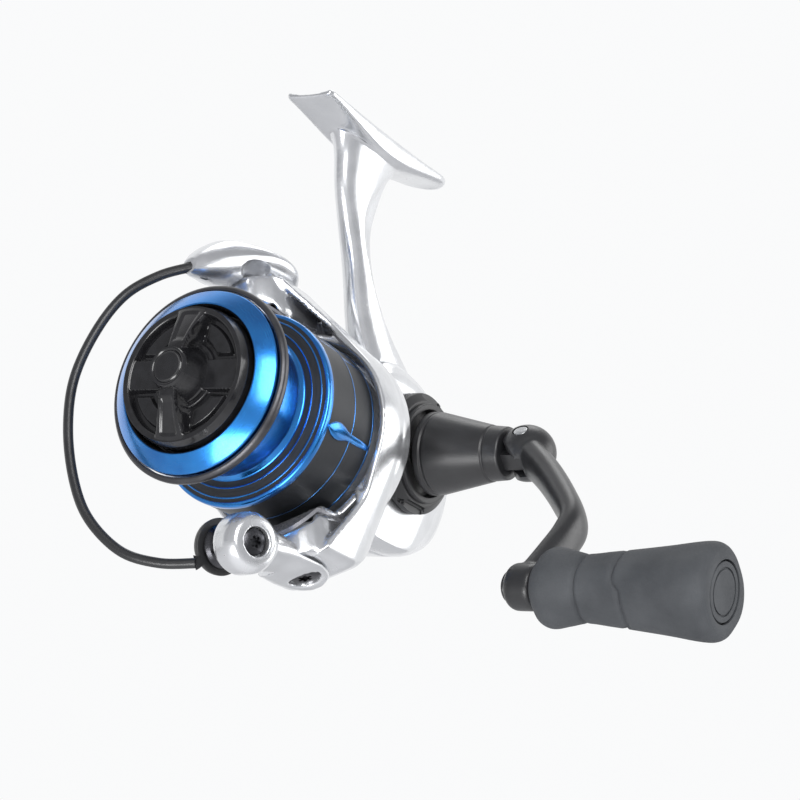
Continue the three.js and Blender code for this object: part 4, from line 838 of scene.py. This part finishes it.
def solid_ball(name, centre, radii, sides=40, rows=20):
    """An egg with its own radius on each axis."""
    profile = [(math.sin(math.pi * k / rows), -math.cos(math.pi * k / rows)) for k in range(rows + 1)]
    ball = turned(name, profile, sides)
    for v in ball.data.vertices:
        v.co = Vector(c + s * r for c, s, r in zip(centre, v.co, radii))
    return ball


def make_wire():
    wire = limb("bail_bow", WIRE_STOPS, WIRE_SIDE, lambda t: (WIRE_R, WIRE_R), 120, 24)
    put(wire, ROTOR, SATIN, "bail_wire")


HEAD_R = 6.9
# across, along and up the rotor, half width, half height
ARM_ROWS = [
    [-0.8, 38.4, -37.4, 2.0, 0.9],
    [-0.8, 36.6, -37.0, 4.6, 1.3],
    [-0.8, 32, -36.6, 6.2, 1.9],
    [-0.6, 26, -36.5, 6.3, 2.5],
    [-0.2, 20.5, -36.0, 5.9, 3.3],
    [0, 15, -35.6, 5.4, 4.3],
    [0.4, 10.5, -34.8, 4.6, 4.6],
]


def make_roller_arm():
    """The bail's lower arm, which ends in the round head over the line roller."""
    rings = [oval((x, y, z), X, Z, w, h, 44, 2.2) for x, y, z, w, h in between(ARM_ROWS, 44)]
    arm = lofted("roller_arm_casting", rings)
    arm.data.transform(ROLLER.inverted() @ ROTOR)
    head = [(0, -1.8), (5.4, -1.8), (HEAD_R, -0.6), (HEAD_R, 4.1), (5.6, 6.3), (0, 7)]
    head = turned("head", rounded(head, 0.9, steps=5), 80)
    arm = joined(arm, head)
    gap = rod("gap", 12, -20, -1.8)
    screw_hole, screw_sink = rod("hole", 1.8, -12, 12), rod("sink", 3.3, 4.2, 12)
    arm = cut(arm, gap, screw_hole, screw_sink)
    arm.data.transform(ROTOR.inverted() @ ROLLER)
    room = block("room", (-14, PIVOT_Y - 10.7, -LEVER_INNER), (14, 60, -20))
    hole = rod("hole", 2.3, 20, 60, -Z, PIVOT_AT)
    sink = rod("sink", 3.7, 37.0, 60, -Z, PIVOT_AT)
    arm = cut(arm, room, hole, sink)
    put(cast(arm, 0.3, 5), ROTOR, SILVER, "roller_arm", crease=60)


def make_roller():
    """The line roller between the arm's head and the black cap on the wire's end."""
    a, b = -6.8, -2.2
    profile = [(2.5, a), (5, a), (5, a + 0.6), (4.2, a + 1.5), (4.0, -4.5)]
    profile += [(4.2, b - 1.5), (5, b - 0.6), (5, b), (2.5, b)]
    roller = turned("line_guide_roller", rounded(profile, 0.25, closed=True), 72)
    put(roller, ROLLER, BLACK_STEEL, "line_roller")
    cap = [(0, -12.1), (2.2, -12.1), (4.6, -10.9), (6.2, -8.6), (6.45, -7.2), (5.9, -7.1), (0, -7.1)]
    cap = turned("wire_cap", rounded(cap, 0.5), 72)
    end = [[-11.9, 5.8, -37.3], [-10.9, 6.7, -37.3], [-10.0, 7.8, -36.9], [-9.2, 9.4, -36.2]]
    boss = limb("boss", end, WIRE_SIDE, lambda t: (2.0 + 0.3 * t, 2.0 + 0.3 * t), 16, 28)
    boss.data.transform(ROLLER.inverted() @ ROTOR)
    trim = rod("trim", 14, -7.1, 20)
    cap = cut(joined(cap, boss), trim, rod("core", 1.8, -10.1, 0))
    tunnel = wire_tunnel()
    tunnel.data.transform(ROLLER.inverted() @ ROTOR)
    put(cut(cap, tunnel), ROLLER, MOULDED, "wire_cover")


def screw(name, at, node, radii, heights, along=Y, spot=(0, 0, 0), finish=STEEL, star=True):
    """A screw with a domed head and a star or cross socket, from its shank's end to its head's top."""
    (head_r, shank_r), (end, seat, top) = radii, heights
    profile = [(0, end), (shank_r, end), (shank_r, seat)]
    profile += [(head_r, seat), (head_r, top - 0.35), (head_r * 0.6, top), (0, top)]
    made = turned(name, rounded(profile, 0.15, steps=2), 40)
    if star:
        tool = [rod("star", head_r * 0.30, top - 0.8, top + 1, segments=24)]
        for k in range(6):
            a = math.pi * k / 3
            spot_k = (math.cos(a) * head_r * 0.36, 0, math.sin(a) * head_r * 0.36)
            tool.append(rod("star", head_r * 0.13, top - 0.8, top + 1, at=spot_k, segments=12))
    else:
        w, n = head_r * 0.62, head_r * 0.16
        tool = [block("cross", (-a, top - 0.7, -b), (a, top + 1, b)) for a, b in ((w, n), (n, w))]
    made = cut(made, *tool)
    turn = Y.rotation_difference(Vector(along)).to_matrix().to_4x4()
    made.data.transform(Matrix.Translation(spot) @ turn)
    put(made, at, finish, node)


def make_bail_screws():
    """The roller's screw and the two that the bail turns on."""
    screw("roller_bolt", ROLLER, "roller_screw", (2.9, 1.5), (-6.4, 4.5, 5.9), finish=BLACK_STEEL)
    pivot = (3.4, 2.0)
    screw("upper_pivot", ROTOR, "pivot_screw_upper", pivot, (27.1, 40.0, 41.2), Z, PIVOT_AT)
    screw("lower_pivot", ROTOR, "pivot_screw_lower", pivot, (27.1, 37.3, 37.9), -Z, PIVOT_AT, BLACK_STEEL)


# ------------------------------------------------------------------ case, stem and foot

CASE_FRONT = 52.0
CASE_EDGE = [
    [CASE_FRONT, 0], [CASE_FRONT, -13], [58, -17.5], [70, -18.4], [81, -16.4], [91.5, -10], [95.5, 0],
    [93.5, 10], [84, 19.5], [74, 25], [61, 26.5], [CASE_FRONT + 1.5, 20], [CASE_FRONT, 9],
]
FACE_EDGE = [
    [CASE_FRONT, 0], [CASE_FRONT, -12.5], [57, -16.6], [67, -17.4], [75.5, -15.8], [78.5, -9], [81, 0],
    [82.5, 9], [78.5, 17], [70.5, 20.2], [60, 20.6], [CASE_FRONT + 1.4, 18.6], [CASE_FRONT, 9],
]
CASE_TAPER = [(0, 0), (0.42, 0), (0.62, 0.06), (0.8, 0.3), (0.94, 0.66), (1, 1)]
CASE_HALF = 12
SPLIT = 5
CASE_WALL = 1.5
COVER_SCREWS = [(56, 16.4), (56.4, -12.4)]  # along and up the case, on the handle's side
LEFT_SCREW = (73, -12.8)
AXLE_SEAT_R, AXLE_BOSS_R = 5.7, 8


def case_ring(x, allowance):
    """The case's outline at a distance from its middle plane, grown by the allowance."""
    share = abs(x) / (CASE_HALF + allowance)
    k = next(i for i in range(1, len(CASE_TAPER)) if share <= CASE_TAPER[i][0] + 1e-9)
    (s0, t0), (s1, t1) = CASE_TAPER[k - 1], CASE_TAPER[k]
    t = t0 + (t1 - t0) * (share - s0) / (s1 - s0)
    middle = Vector((GEAR_Y + 1, 3))
    points = []
    for a, b in zip(CASE_EDGE, FACE_EDGE):
        p = Vector(mixed(a, b, t))
        points.append(list(p + (p - middle).normalized() * allowance))
    loop = points[-2:] + points + points[:3]
    smooth = between(loop, (len(loop) - 1) * 8 + 1)[16:-16]
    return [Vector((x, y, z)) for y, z in smooth]


def case_solid(name, start, end, allowance=0.0):
    """The case between two stations across it."""
    half = CASE_HALF + allowance
    stops = {side * share * half for share, _ in CASE_TAPER for side in (-1, 1)}
    stations = sorted({start, end} | {x for x in stops if start + 0.05 < x < end - 0.05})
    return lofted(name, [case_ring(x, allowance) for x in stations])


# height, middle along Y, half depth, half thickness, and where the thin rear web starts (-1 front to 1 rear)
STEM_ROWS = [
    [19, 74, 13, 8.2, 0.9],
    [28, 66.5, 10.6, 5.6, 0.5],
    [36, 59.4, 8, 4.2, 0.25],
    [46, 52.6, 5.6, 3.5, 0.0],
    [55, 48, 6.0, 3.3, -0.1],
    [63, 46.2, 8.4, 3.5, 0.2],
    [71, 46.2, 10.8, 4.2, 0.75],
    [76.2, 46.6, 14, 5.2, 1.1],
]


def stem_ring(z, y, depth, half, web):
    """A section of the stem: full at the front, with a thinner web behind."""
    points = []
    for k in range(64):
        a = 2 * math.pi * k / 64
        u, v = math.cos(a), math.sin(a)
        thin = 1 - 0.52 * eased((u - web) / 0.2)
        across = half * math.copysign(abs(v) ** 0.85, v) * thin
        points.append(Vector((across, y + depth * u, z)))
    return points


FOOT_START, FOOT_LENGTH, FOOT_EDGE = 19.8, 58, 79.35
ROD_R = 22  # the round seat in the foot's top
FOOT_MIDDLE = FOOT_START + FOOT_LENGTH / 2


def foot_solid():
    """The foot: a long plate, thick in the middle, hollowed on top to lie on a rod."""
    rings = []
    for i in range(49):
        t = i / 48
        swell = math.sin(math.pi * t) ** 1.5
        thick = 1.8 + 4.2 * swell
        nose = min(1.0, 0.90 + t * 4)
        nip = math.sqrt(max(0.05, 1 - ((t - 0.9) / 0.105) ** 2)) if t > 0.9 else 1
        half = 6.6 * (1 - 0.12 * t) * nose * nip
        y = FOOT_START + FOOT_LENGTH * t
        rings.append(oval((0, y, FOOT_EDGE - thick / 2), X, Z, half, thick / 2, 56, 4.5))
    foot = lofted("foot", rings)
    return cut(foot, rod("seat", ROD_R, -60, 60, Y, (0, FOOT_MIDDLE, SEAT_TOP + ROD_R), 180))


def make_body():
    """The reel's body: the left of the case, its nose, the stem and the foot, cast in one."""
    shell = case_solid("case_casting", -CASE_HALF, SPLIT)
    nose = rod("nose", 14, 40.9, 51.2, segments=96, edge=0.4)
    neck = kept(rod("neck", 12, 51, 54, segments=72), block("part", (-20, 50, -20), (SPLIT, 56, 20)))
    boss = rod("boss", AXLE_BOSS_R, -16.2, -11, X, GEAR_AT, edge=0.6)
    stem = lofted("stem", [stem_ring(*row) for row in between(STEM_ROWS, 56)])
    body = joined(shell, nose, neck, boss, stem, foot_solid())
    hollow = case_solid("hollow", -CASE_HALF + CASE_WALL, SPLIT + 1, -CASE_WALL)
    steps = [(0, 40), (12.2, 40), (12.2, 47.2), (8, 47.2), (8, 50.9), (5.3, 50.9), (5.3, 56), (0, 56)]
    seat = rod("seat", AXLE_SEAT_R, -14.9, -5, X, GEAR_AT)
    axle = rod("axle", 4.2, -20, -10, X, GEAR_AT)
    screw_sink = rod("sink", 2.4, -20, -10.8, X, (0, *LEFT_SCREW))
    body = cut(body, hollow, turned("steps", steps), seat, axle, screw_sink)
    put(cast(body, 0.42, 6), REEL, SILVER, "body_housing", crease=60)


def make_side_cover():
    """The cover that closes the case on the handle's side."""
    cover = case_solid("side_cover_casting", SPLIT + 0.3, CASE_HALF)
    hollow = case_solid("hollow", SPLIT, CASE_HALF - CASE_WALL, -CASE_WALL)
    cover = cut(cover, hollow)
    boss = rod("boss", AXLE_BOSS_R, 9, CASE_HALF, X, GEAR_AT)
    seat = rod("seat", AXLE_SEAT_R, 8, 12.9, X, GEAR_AT)
    gap = 0.35
    stem_rows = between(STEM_ROWS, 40)
    stem = lofted("stem", [stem_ring(z, y, d + gap, h + gap, w) for z, y, d, h, w in stem_rows])
    spots = [(0, y, z) for y, z in COVER_SCREWS]
    sinks = [rod("sink", 2.5, 10.8, 20, X, spot) for spot in spots]
    holes = [rod("hole", 1.4, 0, 20, X, spot) for spot in spots]
    lands = [ring("land", 3.3, 1.2, 9.4, 10.9, X, spot) for spot in spots]
    cover = cut(joined(cover, boss, *lands), seat, stem, *sinks, *holes)
    put(cast(cover, 0.36, 4), REEL, SILVER, "side_cover", crease=60)


def make_case_screws():
    """Two cross-headed screws through the side cover and a third from the left."""
    places = [(*COVER_SCREWS[0], X, 5.4), (*COVER_SCREWS[1], X, 5.4), (*LEFT_SCREW, -X, -8.4)]
    for k, (y, z, way, end) in enumerate(places, 1):
        heights = (end, 11.1, 12.3)
        screw(f"case_screw_{k}", REEL, f"cover_screw_{k}", (2.1, 1.1), heights, way, (0, y, z), star=False)


def make_bearing_cap():
    """The stepped black ring round the handle's shaft, notched at the top and bottom."""
    disc = [(10.4, 12.4), (14.3, 12.4), (14.5, 12.8), (14.5, 14.4), (12.6, 15.6), (10.4, 15.6)]
    disc = turned("bearing_cap", rounded(disc, 0.3, closed=True), 96, X, GEAR_AT)
    collar = ring("collar", 11.9, 10.4, 12.4, 16.9, X, GEAR_AT, 96, 0.3)
    base = ring("base", 13.5, 3.8, 12.3, 13.6, X, GEAR_AT, 96)
    cap = joined(disc, collar, base)
    notches = [((14.2, -4.4, z), (20, 4.4, z + 7), 0.5) for z in (18.4, -13.4)]
    notches += [((13.6, y, z), (20, y + 3, z + 6), 0.4) for y, z in ((4.4, 18.2), (-7.4, -12.8))]
    for low, high, edge in notches:
        notch = block("notch", low, high, edge)
        notch.data.transform(Matrix.Translation((0, GEAR_Y, 0)))
        cap = cut(cap, notch)
    seat = rod("seat", AXLE_SEAT_R, 12, 12.95, X, GEAR_AT)
    put(cut(cap, seat), REEL, MOULDED, "bearing_cover", crease=35)


def make_rear_bumper():
    """The black strip let into the case's rear edge, thinner at both ends."""
    rings = []
    keepers = [p for p in case_ring(0, 0.0) if p.y > 76.5 and -11 < p.z < 12.6]
    keepers.sort(key=lambda p: math.atan2(p.z - 3, p.y - 71))
    middle = Vector((0, GEAR_Y + 1, 3))
    for k, p in enumerate(keepers):
        out = (p - middle).normalized()
        fade = min(1, (k + 0.6) / 3, (len(keepers) - k - 0.4) / 3)
        rings.append(oval(p + out * 0.9, X, out, 3.8 * (0.55 + 0.45 * fade), 0.5, 40, 5))
    put(lofted("rear_bumper", rings), REEL, MOULDED, "rear_guard", crease=40)


def make_left_cap():
    """The cap on the side without the handle, with a coin slot and eight finger dents."""
    cap = [(0, -19), (6.2, -19), (7.4, -18), (7.4, -16.5), (3.8, -16.5), (3.8, -15.2), (0, -15.2)]
    cap = turned("left_cap", rounded(cap, 0.4), 72, X, GEAR_AT)
    slot = block("slot", (-20, GEAR_Y - 4.6, GEAR_Z - 0.7), (-18.3, GEAR_Y + 4.6, GEAR_Z + 0.7), 0.25)
    cap = cut(cap, slot)
    for k in range(8):
        a = k * math.pi / 4
        spot = (0, GEAR_Y + 7.8 * math.cos(a), GEAR_Z + 7.8 * math.sin(a))
        cap = cut(cap, rod("dent", 0.8, -19.6, -17.2, X, spot, 20))
    put(cap, REEL, MOULDED, "opposite_side_cap")


# ------------------------------------------------------------------ handle

KNOB_LOW, KNOB_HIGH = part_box("handle_knob")
HEAD_X, BALL_R = JOINTS["handle_fold"]["pos_m"][0] / MM, 6.7
ARM_END_X, ARM_LENGTH = 68, 52
KNOB_START, KNOB_LENGTH = KNOB_LOW.x / MM, (KNOB_HIGH.x - KNOB_LOW.x) / MM
HINGE_AT = (HEAD_X, 0, 0)
KNOB_AT = (ARM_END_X, 0, -ARM_LENGTH)


def make_shank():
    """The cone on the handle's shaft, and the pin that the arm folds on."""
    profile = [
        (0, 17.4), (9.2, 17.4), (9.95, 18.0), (9.95, 19.4), (9.6, 19.7), (9.6, 20.1), (9.85, 20.4),
        (6.75, 34.2), (6.45, 34.5), (6.45, 34.8), (6.55, 35.0), (6.3, 38.3), (6.0, 38.7), (0, 38.7),
    ]
    shank = turned("handle_cone", rounded(profile, 0.25), 96, X)
    tongue = block("tongue", (37.7, -2.1, -3.9), (HEAD_X, 2.1, 3.9))
    end = rod("end", 3.9, -2.1, 2.1, Y, HINGE_AT)
    hole = rod("hole", 2.0, -10, 10, Y, HINGE_AT)
    socket = rod("socket", 3.3, 16, 21.9, X)
    put(cut(joined(shank, tongue, end), hole, socket), CRANK, SATIN, "handle_shank")
    pin = rod("fold_pivot", 1.7, -6.35, 6.35, Y, HINGE_AT, 48, 0.25)
    put(pin, CRANK, STEEL, "fold_pin")


BAR_PATH = [
    [HEAD_X + 1, 0, -1], [HEAD_X + 9.9, 0, -9.4], [HEAD_X + 18.3, 0, -18.9], [ARM_END_X + 0.2, 0, -27.4],
    [ARM_END_X + 1.4, 0, -34], [ARM_END_X + 0.9, 0, -42], [ARM_END_X, 0, -ARM_LENGTH],
]


def make_handle_arm():
    """The bent bar from the fold joint to the knob, and the axle that the knob turns on."""

    def widths(t):
        w = eased(t)
        return 5.2 - 0.8 * w, 3.4 - 0.8 * w

    bar = limb("crank_bar", BAR_PATH, Y, widths, 72, 40, 2.3)
    head = solid_ball("head", HINGE_AT, (BALL_R,) * 3, 72, 40)
    boss = [(0, -3.6), (4.2, -3.6), (5.2, -2.2), (5.2, 2.4), (4.6, 3.2), (0, 3.2)]
    boss = turned("boss", rounded(boss, 1.2, steps=5), 64, X, KNOB_AT)
    arm = cast(joined(bar, head, boss), 0.34, 8)
    slot = block("slot", (33.7, -2.5, -4.6), (HEAD_X + 4.6, 2.5, 9))
    swing = block("swing", (33.6, -2.55, -9.1), (HEAD_X + 1.8, 2.55, 9.1))
    reach = HEAD_X - 39.05
    turns = [math.radians(a) for a in range(0, 49, 8)]
    sweep = [(-reach, 10.0)] + [(-reach * math.cos(a), -reach * math.sin(a)) for a in turns]
    sweep += [(3.65, -9.4), (-2, -16), (-16, -16), (-16, 10)]
    room = lofted("room", [[Vector((HEAD_X + x, y, z)) for x, z in sweep] for y in (-9.3, 9.3)])
    hole = rod("hole", 1.95, -10, 10, Y, HINGE_AT)
    spindle = rod("spindle", 2.3, -9, 9, X, KNOB_AT)
    put(cut(arm, slot, swing, room, hole, spindle), CRANK, SATIN, "handle_arm", crease=50)
    head = [(0, -5.0), (2.6, -4.9), (3.4, -4.3), (3.2, -3.75), (2, -3.7), (2, 37.5), (0, 37.5)]
    rivet = turned("knob_axle", rounded(head, 0.3), 48, X, KNOB_AT)
    put(rivet, CRANK, SATIN, "knob_spindle")


# share of the length, half width across, half height
KNOB_ROWS = [
    [0.0, 6.4, 6.6],
    [0.03, 7.6, 8.0],
    [0.08, 8.2, 8.6],
    [0.16, 7.7, 7.8],
    [0.26, 7.1, 6.9],
    [0.40, 7.7, 7.3],
    [0.55, 8.3, 8.0],
    [0.72, 9.1, 8.8],
    [0.86, 9.8, 9.7],
    [0.94, 10.0, 9.9],
    [0.98, 9.6, 9.4],
    [1.0, 8.8, 8.6],
]
GROOVES = (0.25, 0.47)


def knob_ring(share, across, high):
    """One section of the grip: eight soft flats, with its two grooves bent back over the edges."""
    points = []
    sides = 96
    for k in range(sides):
        a = 2 * math.pi * k / sides
        c, s = math.cos(a), math.sin(a)
        flat = 0.5 * abs(math.cos(2 * a)) ** 3
        power = 2.35 + 0.35 * flat
        y = across * math.copysign(abs(c) ** (2 / power), c)
        z = high * math.copysign(abs(s) ** (2 / power), s)
        dent = 0.0
        for n, spot in enumerate(GROOVES):
            bend = 0.045 * eased((abs(s) - 0.62) / 0.3) if n else 0.0
            dent += 0.62 * math.exp(-(((share - spot - bend) / 0.0105) ** 2))
        scale = 1 - dent / math.hypot(y, z)
        points.append(Vector((KNOB_START + share * KNOB_LENGTH, y * scale, z * scale - ARM_LENGTH)))
    return points


def knob_oval(x, across, high):
    return oval((x, 0, -ARM_LENGTH), Y, Z, across, high, 64)


def make_knob():
    """The rubber grip, and the oval plate let into its end."""
    grip = lofted("grip", [knob_ring(*row) for row in between(KNOB_ROWS, 150)])
    bore = rod("bore", 4.2, KNOB_START - 1, KNOB_START + 36.5, X, (0, 0, -ARM_LENGTH))
    end = KNOB_START + KNOB_LENGTH
    seat = lofted("seat", [knob_oval(x, 6.5, 7.3) for x in (end - 1.2, end + 1)])
    put(cut(grip, bore, seat), CRANK, GRIP, "handle_knob", crease=45)
    rings = []
    for k in range(13):
        t = k / 12
        shrink = 1 - 0.05 * t
        bulge = 0.9 * math.sin(t * math.pi / 2)
        rings.append(knob_oval(end - 1.0 + bulge, 6.25 * shrink, 7.05 * shrink))
    plate = lofted("grip_end", rings)
    inner = lofted("groove", [knob_oval(x, 4.9, 5.6) for x in (end - 0.42, end + 1)])
    core = lofted("core", [knob_oval(x, 4.4, 5.1) for x in (end - 2, end + 2)])
    put(cut(plate, cut(inner, core)), CRANK, GRIP, "knob_cap")


# ------------------------------------------------------------------ build

make_spool()
make_line_clip()
make_drag_knob()
make_rotor()
make_lever()
make_wire()
make_roller_arm()
make_roller()
make_bail_screws()
make_body()
make_side_cover()
make_case_screws()
make_bearing_cap()
make_rear_bumper()
make_left_cap()
make_shank()
make_handle_arm()
make_knob()

# ------------------------------------------------------------------ studio

FLOOR_Z = -1.0


def make_studio():
    """A pale floor, and four soft panels round the reel."""
    made = bmesh.new()
    bmesh.ops.create_grid(made, x_segments=2, y_segments=2, size=4)
    mesh = bpy.data.meshes.new("floor")
    made.to_mesh(mesh)
    made.free()
    floor = bpy.data.objects.new("floor", mesh)
    bpy.context.scene.collection.objects.link(floor)
    floor.location = (0, 0, FLOOR_Z)
    m = Recipe("pale_floor")
    cloud = m.noise(0.004, 2.0)
    mesh.materials.append(m.done(m.colours(cloud, rgb(0.90, 0.90, 0.91), rgb(0.93, 0.93, 0.94)), 0.8))

    make_world()
    aim = Vector((0.0, -0.03, -0.08))
    panels = [
        ("right_panel", (0.66, -0.70, 0.27), 1.0, 0.52, 0.62, 5.6),
        ("low_panel", (0.20, -0.74, -0.64), 0.9, 0.50, 0.36, 4.4),
        ("far_panel", (0.75, 0.62, 0.25), 1.1, 0.6, 0.8, 4.0),
        ("top_panel", (-0.15, 0.35, 0.92), 1.1, 0.5, 0.5, 1.6),
    ]
    for name, way, far, wide, tall, watts in panels:
        lamp = bpy.data.lights.new(name, "AREA")
        lamp.shape, lamp.size, lamp.size_y, lamp.energy = "RECTANGLE", wide, tall, watts
        holder = bpy.data.objects.new(name, lamp)
        bpy.context.scene.collection.objects.link(holder)
        holder.location = aim + Vector(way).normalized() * far
        holder.rotation_euler = (aim - holder.location).to_track_quat("-Z", "Y").to_euler()


def make_world():
    """A white sweep behind the reel, dim overhead and on the near side."""
    world = bpy.data.worlds.new("studio")
    bpy.context.scene.world = world
    world.use_nodes = True
    tree = world.node_tree
    tree.nodes.clear()
    where = tree.nodes.new("ShaderNodeTexCoord")
    dot = tree.nodes.new("ShaderNodeVectorMath")
    dot.operation = "DOT_PRODUCT"
    dot.inputs[1].default_value = (-0.62, 0.78, -0.05)
    tree.links.new(where.outputs["Generated"], dot.inputs[0])
    ramp = tree.nodes.new("ShaderNodeValToRGB")
    stops = [(0.0, (0.50, 0.505, 0.52, 1)), (0.45, (0.30, 0.305, 0.32, 1)), (0.70, (0.955, 0.96, 0.965, 1))]
    ramp.color_ramp.elements[0].position, ramp.color_ramp.elements[0].color = stops[0]
    ramp.color_ramp.elements[1].position, ramp.color_ramp.elements[1].color = stops[2]
    middle = ramp.color_ramp.elements.new(stops[1][0])
    middle.color = stops[1][1]
    half = tree.nodes.new("ShaderNodeMath")
    half.operation = "MULTIPLY_ADD"
    half.inputs[1].default_value = half.inputs[2].default_value = 0.5
    tree.links.new(dot.outputs["Value"], half.inputs[0])
    tree.links.new(half.outputs[0], ramp.inputs[0])
    sky = tree.nodes.new("ShaderNodeBackground")
    tree.links.new(ramp.outputs["Color"], sky.inputs["Color"])
    end = tree.nodes.new("ShaderNodeOutputWorld")
    tree.links.new(sky.outputs[0], end.inputs["Surface"])


def make_camera():
    """A long lens, low at the front and on the handle's side."""
    back = Vector((0.538, -0.797, -0.274)).normalized()
    right = Vector((0.014, -0.316, 0.949)).cross(back).normalized()
    turn = Matrix([right, back.cross(right), back]).transposed().to_4x4()
    lens = bpy.data.cameras.new("view")
    lens.lens, lens.sensor_width = 124.4, 36
    lens.clip_start, lens.clip_end = 0.01, 20
    camera = bpy.data.objects.new("view", lens)
    bpy.context.scene.collection.objects.link(camera)
    camera.matrix_world = Matrix.Translation((0.3639, -0.5093, -0.2411)) @ turn
    bpy.context.scene.camera = camera


make_studio()
make_camera()
bpy.context.scene.view_settings.view_transform = "Standard"
